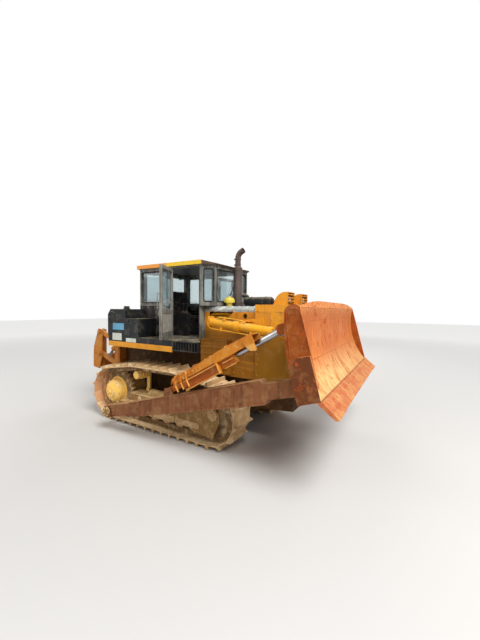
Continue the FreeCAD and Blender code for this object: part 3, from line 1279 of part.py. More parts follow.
for number, (low, high) in enumerate(ramPlates):
    bracketPieces.append(prism(f"RamPlate{number}", "XZ", ramEar, low, high))
for number, (z, low, high) in enumerate(((S.ripperLow, -690, -510), (S.ripperHigh, -690, -510), (ramZ, -500, -340))):
    bracketPieces.append(rod(f"HullPin{number}", "y", (ripX, low, z), 38, high - low))
onHull("ripper_bracket", fused("RipperBracket", bracketPieces + [mirrored(fused("RipperHalf", bracketPieces))]))


def ripperLinkSolid(name):
    # One link bar with an eye at each end, drawn level to the rear of its hull pin
    bar = fused(name + "Bar", [
        rod(name + "Front", "y", (0, -632, 0), 68, 64),
        rod(name + "Rear", "y", (-S.ripperLink, -632, 0), 68, 64),
        box(name + "Web", (-S.ripperLink, 0), (-632, -568), (-48, 48))])
    holes = [rod(f"{name}Hole{number}", "y", (x, -640, 0), 38 + S.fit, 80) for number, x in enumerate((0, -S.ripperLink))]
    return bothSides(name, cut(name + "Link", bar, holes))


onPivot("ripper_lower_links", ripperLinkSolid("LowerLink"), ripX, S.ripperLow, -float(S.ripperRaise))
onPivot("ripper_upper_links", ripperLinkSolid("UpperLink"), ripX, S.ripperHigh, -float(S.ripperRaise))

sidePlate = [(linkEndX + 78, highEnd + 70), (linkEndX - 55, highEnd + 84), (linkEndX - 245, 1420), (linkEndX - 265, 1180),
             (linkEndX - 265, 900), (linkEndX - 20, 870), (linkEndX + 78, 1180)]
ramEndX = linkEndX - 35
ramEndZ = lowEnd - 170
beamBox = (linkEndX - 265, linkEndX - 105)
beamPieces = [box("BeamBox", beamBox, (-672, 672), (900, 1180))]
for side in (-1, 1):
    for number, (low, high) in enumerate(ripPlates):
        ends = sorted((side * low, side * high))
        beamPieces.append(prism(f"BeamPlate{number}{side + 1}", "XZ", sidePlate, ends[0], ends[1]))
    for number, (low, high) in enumerate(ramPlates):
        ends = sorted((side * low, side * high))
        lug = [(beamBox[1] - 10, 950), (beamBox[1] - 10, 1170), (ramEndX + 20, ramEndZ + 60), (ramEndX + 60, ramEndZ),
               (ramEndX + 20, ramEndZ - 60)]
        beamPieces.append(prism(f"RamLug{number}{side + 1}", "XZ", lug, ends[0], ends[1]))
    for number, z in enumerate((lowEnd, highEnd)):
        low, high = sorted((side * 690, side * 510))
        beamPieces.append(rod(f"BeamPin{number}{side + 1}", "y", (linkEndX, low, z), 38, high - low))
pockets = [box(f"Pocket{number}", (linkEndX - 245, linkEndX - 125), (place - 40, place + 40), (880, 1200))
           for number, place in enumerate((-590, 0, 590))]
beam = cut("RipperBeam", fused("RipperBeamSolid", beamPieces), pockets)
onHull("ripper_beam", beam)
shankX = linkEndX - 245 + S.fit
shankFront = linkEndX - 125 - S.fit
shankSide = [(shankX, 1300), (shankX, 700, 520), (shankFront + 80, 350), (shankFront + 150, 340), (shankFront + 100, 430),
             (shankFront, 640), (shankFront, 1300)]
onHull("ripper_shank", together("RipperShank", [
    prism("Shank", "XZ", shankSide, -40 + S.fit, 40 - S.fit)]))

ramLength, ramSlope = bearing((ramX, ramZ), (ramEndX, ramEndZ))
ramY = -420
ramTube = [(110, 0), (110, 62), (640, 62), (640, 70), (675, 70), (675, 32 + S.fit), (150, 32 + S.fit), (150, 0)]
ramBarrel = cut("RamBarrel", fused("RamBarrelOuter", [
    turned("RamTube", "x", (0, ramY, 0), ramTube),
    box("RamShank", (0, 130), (ramY - 34, ramY + 34), (-45, 45)),
    rod("RamEye", "y", (0, ramY - 34, 0), 58, 68)]), [rod("RamBore", "y", (0, ramY - 50, 0), 38 + S.fit, 100)])
onPivot("ripper_cylinder_barrels", bothSides("RamBarrels", ramBarrel), ramX, ramZ, ramSlope)
ramRod = fused("RamRod", [
    rod("RamRodBar", "x", (195, ramY, 0), 32, ramLength - 215),
    rod("RamRodEye", "y", (ramLength, ramY - 34, 0), 52, 68),
    rod("RamRodPin", "y", (ramLength, ramY - 42, 0), 28, 84)])
onPivot("ripper_cylinder_rods", bothSides("RamRods", ramRod), ramX, ramZ, ramSlope)

doc.recompute()
broken = [thing.Name for thing in doc.Objects if "Invalid" in thing.State or "Error" in thing.State]
if broken:
    raise RuntimeError(f"failed: {broken}")
os.makedirs("parts", exist_ok=True)
for node in nodes:
    shape = node.Shape
    if shape.isNull() or not shape.isValid() or not shape.Solids:
        raise RuntimeError(f"{node.Label} has no valid shape")
    shape.exportStep(f"parts/{node.Label}.step")
    size = shape.BoundBox
    print(f"{node.Label:24s} {len(shape.Solids):3d} solids {shape.Volume / 1e9:8.4f} m3 "
          f"x {size.XMin:.0f}..{size.XMax:.0f} y {size.YMin:.0f}..{size.YMax:.0f} "
          f"z {size.ZMin:.0f}..{size.ZMax:.0f}")
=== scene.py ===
import json
import math

import bmesh
import bpy
import numpy as np
from mathutils import Matrix, Vector

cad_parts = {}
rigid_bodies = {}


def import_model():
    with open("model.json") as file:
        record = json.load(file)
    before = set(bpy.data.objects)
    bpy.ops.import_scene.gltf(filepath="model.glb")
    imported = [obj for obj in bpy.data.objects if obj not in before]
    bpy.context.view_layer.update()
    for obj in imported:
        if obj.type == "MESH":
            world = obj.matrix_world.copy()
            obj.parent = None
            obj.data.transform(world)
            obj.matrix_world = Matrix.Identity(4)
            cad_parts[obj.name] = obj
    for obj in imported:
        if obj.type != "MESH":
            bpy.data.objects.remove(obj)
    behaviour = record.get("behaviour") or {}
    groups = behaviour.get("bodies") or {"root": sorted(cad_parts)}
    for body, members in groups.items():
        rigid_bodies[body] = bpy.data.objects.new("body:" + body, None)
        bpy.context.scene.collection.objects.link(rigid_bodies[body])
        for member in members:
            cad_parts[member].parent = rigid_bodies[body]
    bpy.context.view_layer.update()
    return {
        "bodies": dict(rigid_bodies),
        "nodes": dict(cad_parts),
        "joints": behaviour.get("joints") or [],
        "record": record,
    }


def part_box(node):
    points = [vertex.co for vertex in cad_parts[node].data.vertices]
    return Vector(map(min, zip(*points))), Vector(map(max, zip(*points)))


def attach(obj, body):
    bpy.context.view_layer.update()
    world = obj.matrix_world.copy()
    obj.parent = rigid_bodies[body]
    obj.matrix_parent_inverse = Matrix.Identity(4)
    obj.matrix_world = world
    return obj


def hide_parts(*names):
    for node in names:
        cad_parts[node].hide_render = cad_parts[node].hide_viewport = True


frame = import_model()
nodes = frame["nodes"]
scene = bpy.context.scene
print("frame loaded:", len(nodes), "nodes")

# Material wiring: sockets are passed about as values
shaderNames = {"colour": "Base Color", "rough": "Roughness", "metal": "Metallic", "bump": "Normal",
               "clear": "Transmission Weight", "ior": "IOR", "specular": "Specular IOR Level",
               "glow": "Emission Strength", "glowColour": "Emission Color"}


class Wiring:
    def __init__(self, name):
        self.material = bpy.data.materials.new(name)
        self.material.use_nodes = True
        self.nodes = self.material.node_tree.nodes
        self.links = self.material.node_tree.links
        self.shader = self.nodes["Principled BSDF"]
        place = self.nodes.new("ShaderNodeTexCoord")
        self.place = place.outputs["Object"]
        self.normal = place.outputs["Normal"]

    def feed(self, socket, value):
        if isinstance(value, bpy.types.NodeSocket):
            self.links.new(value, socket)
        elif isinstance(value, tuple) and len(value) == 3 and socket.type == "RGBA":
            socket.default_value = (*value, 1)
        else:
            socket.default_value = value

    def set(self, **values):
        for key, value in values.items():
            self.feed(self.shader.inputs[shaderNames[key]], value)

    def calc(self, kind, *values):
        made = self.nodes.new("ShaderNodeMath")
        made.operation = kind
        for socket, value in zip(made.inputs, values):
            self.feed(socket, value)
        return made.outputs[0]

    def times(self, product, *others):
        for other in others:
            product = self.calc("MULTIPLY", product, other)
        return product

    def plus(self, total, *others):
        for other in others:
            total = self.calc("ADD", total, other)
        return total

    def mapped(self, scale=(1, 1, 1), shift=(0, 0, 0), turn=(0, 0, 0)):
        made = self.nodes.new("ShaderNodeMapping")
        self.feed(made.inputs["Vector"], self.place)
        made.inputs["Scale"].default_value = scale
        made.inputs["Location"].default_value = shift
        made.inputs["Rotation"].default_value = turn
        return made.outputs[0]

    def noise(self, scale, detail, rough, stretch=(1, 1, 1), seed=0, warp=0):
        made = self.nodes.new("ShaderNodeTexNoise")
        self.feed(made.inputs["Vector"], self.mapped(stretch, (seed * 3.1, seed * 1.7, seed * 2.3)))
        made.inputs["Scale"].default_value = scale
        made.inputs["Detail"].default_value = detail
        made.inputs["Roughness"].default_value = rough
        made.inputs["Distortion"].default_value = warp
        return made.outputs["Fac"]

    def ramp(self, value, low, high, bottom=0.0, top=1.0, kind="SMOOTHSTEP"):
        made = self.nodes.new("ShaderNodeMapRange")
        made.interpolation_type = kind
        for name, number in (("Value", value), ("From Min", low), ("From Max", high),
                             ("To Min", bottom), ("To Max", top)):
            self.feed(made.inputs[name], number)
        return made.outputs["Result"]

    def mix(self, share, first, second):
        made = self.nodes.new("ShaderNodeMix")
        made.data_type = "RGBA"
        self.feed(made.inputs["Factor"], share)
        self.feed(made.inputs["A"], first)
        self.feed(made.inputs["B"], second)
        return made.outputs["Result"]

    def part(self, vector, axis):
        made = self.nodes.new("ShaderNodeSeparateXYZ")
        self.feed(made.inputs[0], vector)
        return made.outputs[axis]

    def along(self, axis):
        return self.part(self.place, axis)

    def dot(self, first, second):
        made = self.nodes.new("ShaderNodeVectorMath")
        made.operation = "DOT_PRODUCT"
        self.feed(made.inputs[0], first)
        self.feed(made.inputs[1], second)
        return made.outputs["Value"]

    def facing(self, *way):
        # How much the surface faces a way, -1 to 1
        return self.dot(self.normal, way)

    def edges(self, radius):
        # Near an edge the rounded normal leaves the flat one
        rounded = self.nodes.new("ShaderNodeBevel")
        rounded.samples = 4
        rounded.inputs["Radius"].default_value = radius
        plain = self.nodes.new("ShaderNodeNewGeometry")
        return self.ramp(self.dot(rounded.outputs[0], plain.outputs["True Normal"]), 0.995, 0.86)

    def bump(self, height, distance, strength):
        made = self.nodes.new("ShaderNodeBump")
        made.inputs["Distance"].default_value = distance
        made.inputs["Strength"].default_value = strength
        self.feed(made.inputs["Height"], height)
        return made.outputs[0]


# Camera at the photograph's place
camera = {
    "place": (3.8755, -5.17, 2.41),
    "heading": 120.63,      # degrees from +X towards +Y
    "pitch": -2.07,
    "roll": 0.5,
    "lens": 16.2,
    "sensor": 36,
}


def addCamera(look):
    heading, pitch, roll = (math.radians(look[key]) for key in ("heading", "pitch", "roll"))
    reach = math.cos(pitch)
    ahead = Vector((reach * math.cos(heading), reach * math.sin(heading), math.sin(pitch)))
    level = Vector((math.sin(heading), -math.cos(heading), 0))
    above = level.cross(ahead)
    right = level * math.cos(roll) + above * math.sin(roll)
    up = above * math.cos(roll) - level * math.sin(roll)
    data = bpy.data.cameras.new("Camera")
    data.lens = look["lens"]
    data.sensor_width = look["sensor"]
    seen = bpy.data.objects.new("Camera", data)
    seen.matrix_world = Matrix((right, up, -ahead)).transposed().to_4x4()
    seen.location = look["place"]
    scene.collection.objects.link(seen)
    scene.camera = seen


addCamera(camera)

# Studio: pale floor, soft lamps, and a white surround that only the camera, gloss and glass see
studio = {
    "floorColour": (0.62, 0.61, 0.59),
    "floorRough": 0.9,
    "floorHalf": 60,
    "paleFrom": 26,     # metres; far off, where the lamps don't reach, the paper glows to stay pale
    "paleNear": 0.85,
    "paleGlow": 0.52,
    "ambient": 0.38,
    "aim": (0, 0, 1),
    "lamps": [      # name, place, size, watts
        ("KeyLamp", (10.0, -5.5, 13.0), 7.0, 2700),
        ("FillLamp", (-9.0, -9.0, 8.0), 8.0, 520),
        ("BackLamp", (-4.0, 11.0, 10.0), 8.0, 750),
    ],
}


def addFloor(look):
    half = look["floorHalf"]
    mesh = bpy.data.meshes.new("Floor")
    corners = [(-half, -half, 0), (half, -half, 0), (half, half, 0), (-half, half, 0)]
    mesh.from_pydata(corners, [], [(0, 1, 2, 3)])
    floor = bpy.data.objects.new("Floor", mesh)
    scene.collection.objects.link(floor)
    paper = Wiring("FloorPaper")
    nearness = paper.nodes.new("ShaderNodeTexGradient")
    nearness.gradient_type = "SPHERICAL"
    paper.feed(nearness.inputs["Vector"], paper.mapped((1 / look["paleFrom"],) * 3))
    glow = paper.ramp(nearness.outputs["Fac"], look["paleNear"], 0, 0, look["paleGlow"], "LINEAR")
    paper.set(colour=look["floorColour"], rough=look["floorRough"], glow=glow, glowColour=(1, 1, 1))
    mesh.materials.append(paper.material)


def addSurround(look):
    world = bpy.data.worlds.new("Surround")
    scene.world = world
    world.use_nodes = True
    tree = world.node_tree
    path = tree.nodes.new("ShaderNodeLightPath")
    shown = path.outputs["Is Camera Ray"]
    for name in ("Is Glossy Ray", "Is Transmission Ray"):
        either = tree.nodes.new("ShaderNodeMath")
        either.operation = "MAXIMUM"
        tree.links.new(shown, either.inputs[0])
        tree.links.new(path.outputs[name], either.inputs[1])
        shown = either.outputs[0]
    strength = tree.nodes.new("ShaderNodeMapRange")
    strength.inputs["To Min"].default_value = look["ambient"]
    strength.inputs["To Max"].default_value = 1
    tree.links.new(shown, strength.inputs["Value"])
    background = tree.nodes["Background"]
    background.inputs["Color"].default_value = (1, 1, 1, 1)
    tree.links.new(strength.outputs["Result"], background.inputs["Strength"])


def addLamps(look):
    for name, place, size, watts in look["lamps"]:
        lamp = bpy.data.lights.new(name, "AREA")
        lamp.size = size
        lamp.energy = watts
        stand = bpy.data.objects.new(name, lamp)
        stand.location = place
        stand.rotation_mode = "QUATERNION"
        stand.rotation_quaternion = (Vector(look["aim"]) - Vector(place)).to_track_quat("-Z", "Y")
        scene.collection.objects.link(stand)


addFloor(studio)
addSurround(studio)
addLamps(studio)
scene.view_settings.view_transform = "Standard"
print("camera and studio ready")


def linear(red, green, blue):
    # A colour given 0 to 255, as the shader's linear value
    return tuple(c / 12.92 if c <= 0.04045 else ((c + 0.055) / 1.055) ** 2.4 for c in
                 (red / 255, green / 255, blue / 255))


# Layers: what lies on the paint of some finishes, with painted shade or painted highlights in a few, each a
# share and a colour, in the order they were laid
def drawnLevel(w, x, z, degrees):
    # Object coordinates turned level about a pin: across, along y, and up
    turn = math.radians(degrees)
    across = x * math.cos(turn) + z * math.sin(turn)
    up = z * math.cos(turn) - x * math.sin(turn)
    place = w.mapped(shift=(-across, 0, -up), turn=(0, turn, 0))
    return [w.part(place, axis) for axis in range(3)]


def bladeLayers(w):
    across, y, height = drawnLevel(w, -1.1745, 0.40, 15.07)
    scratch = w.noise(2.2, 6, 0.7, stretch=(1, 26, 0.9), seed=6)
    # soil dried pale along the foot, most of it at the right end
    soil = w.ramp(w.noise(5, 7, 0.7, stretch=(1, 1.6, 0.5), seed=8), 0.34, 0.54)
    low = w.times(w.ramp(height, 0.40, -0.14), w.ramp(y, 1.4, -1.2, 0.55, 1.0), soil)
    chips = w.ramp(w.noise(28, 5, 0.7, seed=22), 0.46, 0.56, 0, 0.8)
    ends = w.ramp(w.calc("ABSOLUTE", w.facing(0, 1, 0)), 0.6, 0.8)
    endRust = w.mix(w.ramp(w.noise(6, 6, 0.7, seed=9), 0.4, 0.6), linear(126, 54, 8), linear(148, 74, 16))
    box = w.times(ends, w.ramp(w.calc("ABSOLUTE", y), 1.846, 1.852))
    return [
        (w.ramp(scratch, 0.50, 0.66, 0, 0.75), (226, 142, 74)),
        (w.ramp(scratch, 0.46, 0.34, 0, 0.6), (146, 62, 20)),
        (low, (240, 198, 132)),
        (w.ramp(height, -0.160, -0.170, 0, 0.85), (84, 44, 20)),        # where the edge is bolted on
        (w.ramp(y, 1.66, 1.80, 0, 0.6), (226, 172, 108)),
        (w.times(w.ramp(height, 0.84, 0.97), chips), (224, 156, 88)),
        (w.ramp(w.facing(-0.9656, 0, -0.26), 0.15, 0.45), (144, 88, 28)),
        (ends, endRust),
        (box, (100, 52, 22)),
    ]


def tiltLayers(w):
    across, y, height = drawnLevel(w, 0.4075, 1.0248, 29.15)
    foot = w.ramp(across, 0.95, 0.55, 0.25, 1.0)     # the lower end is the more battered
    blotch = w.ramp(w.noise(16, 6, 0.7, seed=12), 0.47, 0.54, 0, 0.85)
    spots = w.ramp(w.noise(22, 5, 0.65, seed=13), 0.56, 0.62, 0, 0.8)
    web = w.times(w.ramp(w.facing(0, -1, 0), 0.7, 0.9), w.ramp(y, -1.705, -1.697), w.ramp(height, 0.012, 0.0))
    return [
        (w.times(blotch, foot), (162, 86, 22)),
        (w.times(spots, foot), (236, 196, 108)),
        (web, (164, 84, 26)),
        (w.times(w.ramp(y, -1.728, -1.738), w.ramp(height, 0.02, 0.008)), (220, 158, 76)),
        (w.ramp(w.facing(-0.487, 0, 0.873), 0.7, 0.9, 0, 0.7), (216, 166, 92)),
    ]


def guardLayers(w):
    x, z = w.along(0), w.along(2)
    wavy = w.plus(z, w.ramp(w.noise(3, 5, 0.6, seed=14), 0, 1, -0.25, 0.25))
    speckle = w.ramp(w.noise(14, 6, 0.7, seed=15), 0.38, 0.52, 0, 0.8)
    hatch = w.times(w.ramp(x, 1.79, 1.83), w.ramp(x, 2.03, 1.99), w.ramp(z, 2.08, 2.12),
                    w.ramp(z, 2.39, 2.35), speckle)
    return [
        (w.ramp(wavy, 2.16, 1.86, 0, 0.85), (132, 90, 16)),
        (w.ramp(z, 2.36, 2.39, 0, 0.5), (236, 162, 48)),
        (hatch, (226, 178, 134)),
    ]


def panelLayers(w):
    wavy = w.plus(w.along(2), w.ramp(w.noise(4, 5, 0.6, seed=16), 0, 1, -0.12, 0.12))
    bands = w.noise(2.6, 4, 0.6, stretch=(0.3, 1, 5), seed=21)
    return [
        (w.ramp(wavy, 2.16, 2.02), (151, 99, 24)),
        (w.ramp(bands, 0.50, 0.60, 0, 0.55), (184, 122, 42)),
    ]


def trackLayers(w):
    # link sides between the shoes painted dark as shade, and shoes scoured pink round the sprocket
    sides = w.ramp(w.calc("ABSOLUTE", w.facing(0, 1, 0)), 0.6, 0.8)
    links = w.times(sides, w.ramp(w.calc("ABSOLUTE", w.along(1)), 1.16, 1.13, 0, 0.75))
    return [
        (links, (96, 72, 46)),
        (w.ramp(w.along(0), -1.9, -2.1, 0, 0.5), (222, 160, 118)),
    ]


def armLayers(w):
    streaks = w.noise(5, 5, 0.6, stretch=(2.4, 1, 0.35), seed=23)
    return [
        (w.ramp(streaks, 0.50, 0.62, 0, 0.7), (142, 90, 56)),
        (w.ramp(streaks, 0.46, 0.36, 0, 0.7), (92, 54, 32)),
    ]


def cabLayers(w):
    drift = w.noise(7, 7, 0.7, stretch=(1, 1, 0.22), seed=17)
    # the wall under the rear side windows is nearly black
    wall = w.times(w.ramp(w.along(2), 2.480, 2.474), w.ramp(w.along(0), -0.395, -0.410))
    return [
        (w.ramp(drift, 0.46, 0.62, 0, 0.8), (140, 138, 128)),
        (wall, w.mix(w.ramp(drift, 0.44, 0.64), linear(28, 30, 30), linear(58, 58, 54))),
        (w.times(w.edges(0.02), 0.75), (166, 162, 150)),
    ]


def roofLayers(w):
    x = w.along(0)
    return [
        (w.ramp(x, -0.42, -0.46), (228, 148, 62)),
        (w.ramp(x, 0.44, 0.47), (70, 56, 44)),
        # faces pointing down are painted dark as shade under the roof
        (w.ramp(w.facing(0, 0, -1), 0.6, 0.9), (58, 52, 44)),
    ]


def bonnetLayers(w):
    chipped = w.ramp(w.noise(9, 8, 0.75, stretch=(1, 1, 1.6), seed=18), 0.50, 0.56)
    return [
        # white patches are painted highlights on the worn sheet
        (w.ramp(w.noise(11, 8, 0.75, seed=20), 0.52, 0.60, 0, 0.85), (222, 230, 226)),
        (w.times(chipped, w.ramp(w.along(2), 2.46, 2.38)), (150, 104, 52)),
        (w.ramp(w.noise(14, 6, 0.7, seed=19), 0.60, 0.66, 0, 0.8), (120, 96, 84)),
    ]


# Painted and rusted steel; what each finish doesn't name is taken from here
plainWear = {
    "paint": (200, 140, 40), "faded": (215, 165, 80), "rust": (120, 62, 28), "dust": (176, 148, 112),
    "rustShare": 0.40,      # 0 none, 1 all
    "dustShare": 0.45,
    "mudShare": 0.35,       # dried soil in patches
    "edgeShare": 0.7,
    "edgeWidth": 0.012,
    "streak": 0.3,
    "rough": 0.55,
    "metal": 0.0,
    "gloss": 0.2,
    "layers": None,
}


def wornPaint(name, **changes):
    look = {**plainWear, **changes}
    w = Wiring(name)
    broad = w.noise(0.9, 3, 0.5, seed=len(name))
    patch = w.noise(4.2, 9, 0.72, seed=3, warp=0.25)
    fine = w.noise(42, 6, 0.7, seed=5)
    pits = w.noise(150, 3, 0.6, seed=7)
    runs = w.noise(11, 5, 0.62, stretch=(1, 1, 0.10), seed=2)
    cloud = w.noise(6.5, 8, 0.66, seed=11)
    rust, dust = linear(*look["rust"]), linear(*look["dust"])
    colour = w.mix(w.ramp(broad, 0.35, 0.68), linear(*look["paint"]), linear(*look["faded"]))
    for share, tone in look["layers"](w) if look["layers"] else []:
        colour = w.mix(share, colour, tone if isinstance(tone, bpy.types.NodeSocket) else linear(*tone))
    colour = w.mix(w.ramp(runs, 0.52, 0.75, 0, look["streak"]), colour, rust)
    # rust: broad patches broken by grain, and worn edges
    edge = w.times(w.edges(look["edgeWidth"]), look["edgeShare"])
    spread = w.plus(w.times(patch, 0.72), w.times(fine, 0.28), w.times(edge, 0.16))
    level = 0.685 - 0.34 * look["rustShare"]
    rusted = w.ramp(spread, level, level + 0.07, 0, 0.92)
    brighter = linear(*[min(255, c * 1.45 + 8) for c in look["rust"]])
    colour = w.mix(rusted, colour, w.mix(w.ramp(fine, 0.3, 0.7), rust, brighter))
    # dust settles on what faces up, and in blotches elsewhere
    upward = w.ramp(w.part(w.normal, 2), 0.25, 0.95)
    lying = w.times(w.ramp(cloud, 0.28, 0.60), upward, look["dustShare"])
    blown = w.times(w.ramp(cloud, 0.48, 0.63), 0.6 * look["mudShare"])
    dusty = w.calc("MINIMUM", w.plus(lying, blown), 0.95)
    darker = linear(*[c * 0.86 for c in look["dust"]])
    colour = w.mix(dusty, colour, w.mix(w.ramp(fine, 0.35, 0.65), dust, darker))
    rough = w.ramp(w.calc("MAXIMUM", rusted, dusty), 0, 1, look["rough"], 0.9)
    relief = w.plus(w.times(fine, 0.6), w.times(pits, 0.4), w.times(rusted, -0.35))
    w.set(colour=colour, rough=rough, bump=w.bump(relief, 0.0022, 0.6), metal=look["metal"],
          specular=look["gloss"])
    return w.material


finishes = {
    "yellow_paint": dict(paint=(226, 154, 36), faded=(206, 134, 36), rust=(106, 60, 18), rustShare=0.25,
                         dust=(178, 138, 82), mudShare=0.45, streak=0.5),
    "frame_steel": dict(paint=(140, 106, 62), faded=(154, 120, 74), rust=(100, 66, 34), dust=(206, 170, 116),
                        mudShare=1.2, dustShare=0.9, rustShare=0.45, rough=0.8),
    # the main frame's paint is darkened as painted shade under the fenders; its dust and rust are real
    "hull_steel": dict(paint=(62, 40, 20), faded=(78, 52, 26), rust=(54, 32, 16), dust=(124, 94, 56),
                       mudShare=0.7, dustShare=0.8, rustShare=0.45, rough=0.8),
    "black_paint": dict(paint=(20, 24, 28), faded=(34, 37, 40), rust=(80, 56, 38), dust=(150, 138, 114),
                        rustShare=0.12, dustShare=0.95, mudShare=0.28, streak=0.2),
    "cab_paint": dict(paint=(78, 78, 76), faded=(106, 104, 98), rust=(92, 76, 58), dust=(164, 156, 140),
                      rustShare=0.12, dustShare=0.7, mudShare=0.7, streak=0.35, layers=cabLayers),
    "roof_paint": dict(paint=(238, 200, 52), faded=(226, 182, 52), rust=(140, 92, 34), rustShare=0.12,
                       dustShare=0.5, mudShare=0.2, streak=0.2, layers=roofLayers),
    "strip_paint": dict(paint=(232, 158, 34), faded=(216, 144, 36), rust=(124, 76, 28), rustShare=0.15),
    "blade_steel": dict(paint=(182, 94, 38), faded=(202, 112, 46), rust=(130, 56, 18), dust=(214, 158, 100),
                        rustShare=0.42, mudShare=0.3, dustShare=0.5, streak=0.45, rough=0.6,
                        layers=bladeLayers),
    "edge_steel": dict(paint=(184, 92, 54), faded=(200, 112, 66), rust=(122, 58, 34), dust=(222, 170, 108),
                       rustShare=0.35, mudShare=0.7, rough=0.6),
    "arm_steel": dict(paint=(114, 68, 38), faded=(130, 82, 50), rust=(84, 48, 26), dust=(190, 146, 100),
                      mudShare=0.4, dustShare=0.95, streak=0.5, rough=0.7, layers=armLayers),
    "cylinder_paint": dict(paint=(230, 164, 32), faded=(210, 142, 32), rust=(140, 78, 20), rustShare=0.34,
                           dust=(228, 186, 106), mudShare=0.45, streak=0.2),
    "tilt_guard": dict(paint=(208, 132, 32), faded=(190, 112, 26), rust=(134, 66, 18), rustShare=0.42,
                       dust=(220, 168, 96), mudShare=0.5, streak=0.2, layers=tiltLayers),
    "track_steel": dict(paint=(184, 150, 106), faded=(206, 170, 122), rust=(132, 92, 58),
                        dust=(242, 214, 168), rustShare=0.32, mudShare=1.1, dustShare=1.0, rough=0.8,
                        metal=0.1, edgeShare=0.3, layers=trackLayers),
    "roller_paint": dict(paint=(250, 202, 96), faded=(242, 198, 112), rust=(176, 112, 50),
                         dust=(252, 222, 168), rustShare=0.25, mudShare=0.9, dustShare=0.8, rough=0.8),
    # engine paint is brighter than the other yellows, as painted light on parts that sit in shade under the
    # bonnet
    "engine_iron": dict(paint=(252, 186, 34), faded=(232, 152, 24), rust=(92, 54, 20), dust=(170, 124, 64),
                        rustShare=0.36, mudShare=0.45),
    "ripper_steel": dict(paint=(190, 118, 38), faded=(170, 100, 34), rust=(112, 60, 22), dust=(196, 150, 96),
                         rustShare=0.45, mudShare=0.6, streak=0.4),
    "exhaust_steel": dict(paint=(76, 66, 64), faded=(106, 94, 88), rust=(84, 54, 42), dust=(140, 124, 108),
                          rustShare=0.45, mudShare=0.3, dustShare=0.4, metal=0.3, rough=0.5),
    "precleaner_plastic": dict(paint=(236, 212, 60), faded=(222, 198, 74), rust=(146, 124, 52),
                               rustShare=0.05, mudShare=0.3, edgeShare=0.1, rough=0.4, gloss=0.45),
    "control_plastic": dict(paint=(24, 24, 26), faded=(40, 40, 42), rust=(60, 56, 50), rustShare=0.08,
                            mudShare=0.25, dustShare=0.6, rough=0.6),
    "radiator": dict(paint=(16, 15, 14), faded=(30, 27, 24), rust=(50, 40, 30), rustShare=0.2, mudShare=0.6,
                     rough=0.9),
    "lamp": dict(paint=(34, 34, 36), faded=(60, 60, 60), rust=(90, 70, 50), rustShare=0.1, mudShare=0.3),
    "seat_cloth": dict(paint=(32, 32, 36), faded=(46, 46, 50), rust=(70, 66, 60), rustShare=0.1, mudShare=0.3,
                       edgeShare=0.2, rough=0.9, streak=0.0),
    "guard_paint": dict(paint=(216, 144, 32), faded=(200, 128, 32), rust=(118, 68, 20), rustShare=0.24,
                        dust=(192, 148, 90), mudShare=0.4, streak=0.5, layers=guardLayers),
    "panel_paint": dict(paint=(214, 140, 28), faded=(190, 118, 28), rust=(112, 66, 20), rustShare=0.28,
                        dust=(176, 132, 76), mudShare=0.5, streak=0.6, layers=panelLayers),
    "worn_bonnet": dict(paint=(158, 168, 168), faded=(144, 152, 150), rust=(116, 88, 56), rustShare=0.2,
                        dust=(206, 196, 170), dustShare=0.5, streak=0.25, layers=bonnetLayers),
    "rubber": dict(paint=(22, 22, 23), faded=(36, 35, 35), rust=(60, 54, 48), rustShare=0.05, dustShare=0.5,
                   dust=(120, 110, 96), edgeShare=0.0, rough=0.75, streak=0.1),
    "blue_patch": dict(paint=(72, 146, 186), faded=(92, 164, 198), rust=(70, 92, 104), rustShare=0.12,
                       mudShare=0.3, edgeShare=0.2, rough=0.5, streak=0.15),
    "white_patch": dict(paint=(216, 222, 210), faded=(192, 198, 186), rust=(140, 136, 120), rustShare=0.1,
                        mudShare=0.3, edgeShare=0.2, rough=0.5, streak=0.15),
}
# nodes whose wear differs from the rest of their slot; the main frame's paint is darkened as painted shade,
# and the bonnet carries painted highlights
ownFinish = {"radiator_guard": "guard_paint", "engine_side_panels": "panel_paint",
             "engine_bonnet": "worn_bonnet", "tilt_cylinder_barrel": "tilt_guard", "main_frame": "hull_steel"}


def windowGlass():
    w = Wiring("window_glass")
    z = w.along(2)
    haze = w.ramp(w.noise(7, 6, 0.6, seed=4), 0.4, 0.75)
    cloud = w.noise(9, 6, 0.65, seed=24)
    # dust in the doors' lower panes, and along the foot of every window
    panes = w.times(w.ramp(z, 2.37, 2.35), w.ramp(cloud, 0.25, 0.55, 0.45, 0.95))
    foot = w.times(w.ramp(z, 2.66, 2.50), w.ramp(cloud, 0.35, 0.6, 0, 0.5))
    dust = w.calc("MAXIMUM", panes, foot)
    rough = w.calc("MAXIMUM", w.ramp(haze, 0, 1, 0.03, 0.2), w.ramp(dust, 0, 0.6, 0, 0.8))
    w.set(colour=w.mix(dust, (0.62, 0.72, 0.74), linear(150, 142, 124)), clear=w.ramp(dust, 0, 1, 0.94, 0.1),
          ior=1.45, rough=rough)
    return w.material


def lampGlass():
    w = Wiring("lamp_glass")
    flutes = w.noise(60, 2, 0.5, stretch=(1, 1, 0.05))
    w.set(colour=w.mix(w.ramp(flutes, 0.4, 0.6), (0.80, 0.82, 0.80), (0.62, 0.62, 0.58)), rough=0.14,
          clear=0.35, ior=1.5, bump=w.bump(flutes, 0.002, 0.5))
    return w.material


def chromeRod():
    w = Wiring("chrome_rod")
    smear = w.ramp(w.noise(12, 5, 0.6, stretch=(0.2, 1, 1)), 0.45, 0.7)
    w.set(colour=w.mix(smear, (0.42, 0.42, 0.44), (0.30, 0.26, 0.20)), metal=1.0,
          rough=w.ramp(smear, 0, 1, 0.24, 0.5))
    return w.material


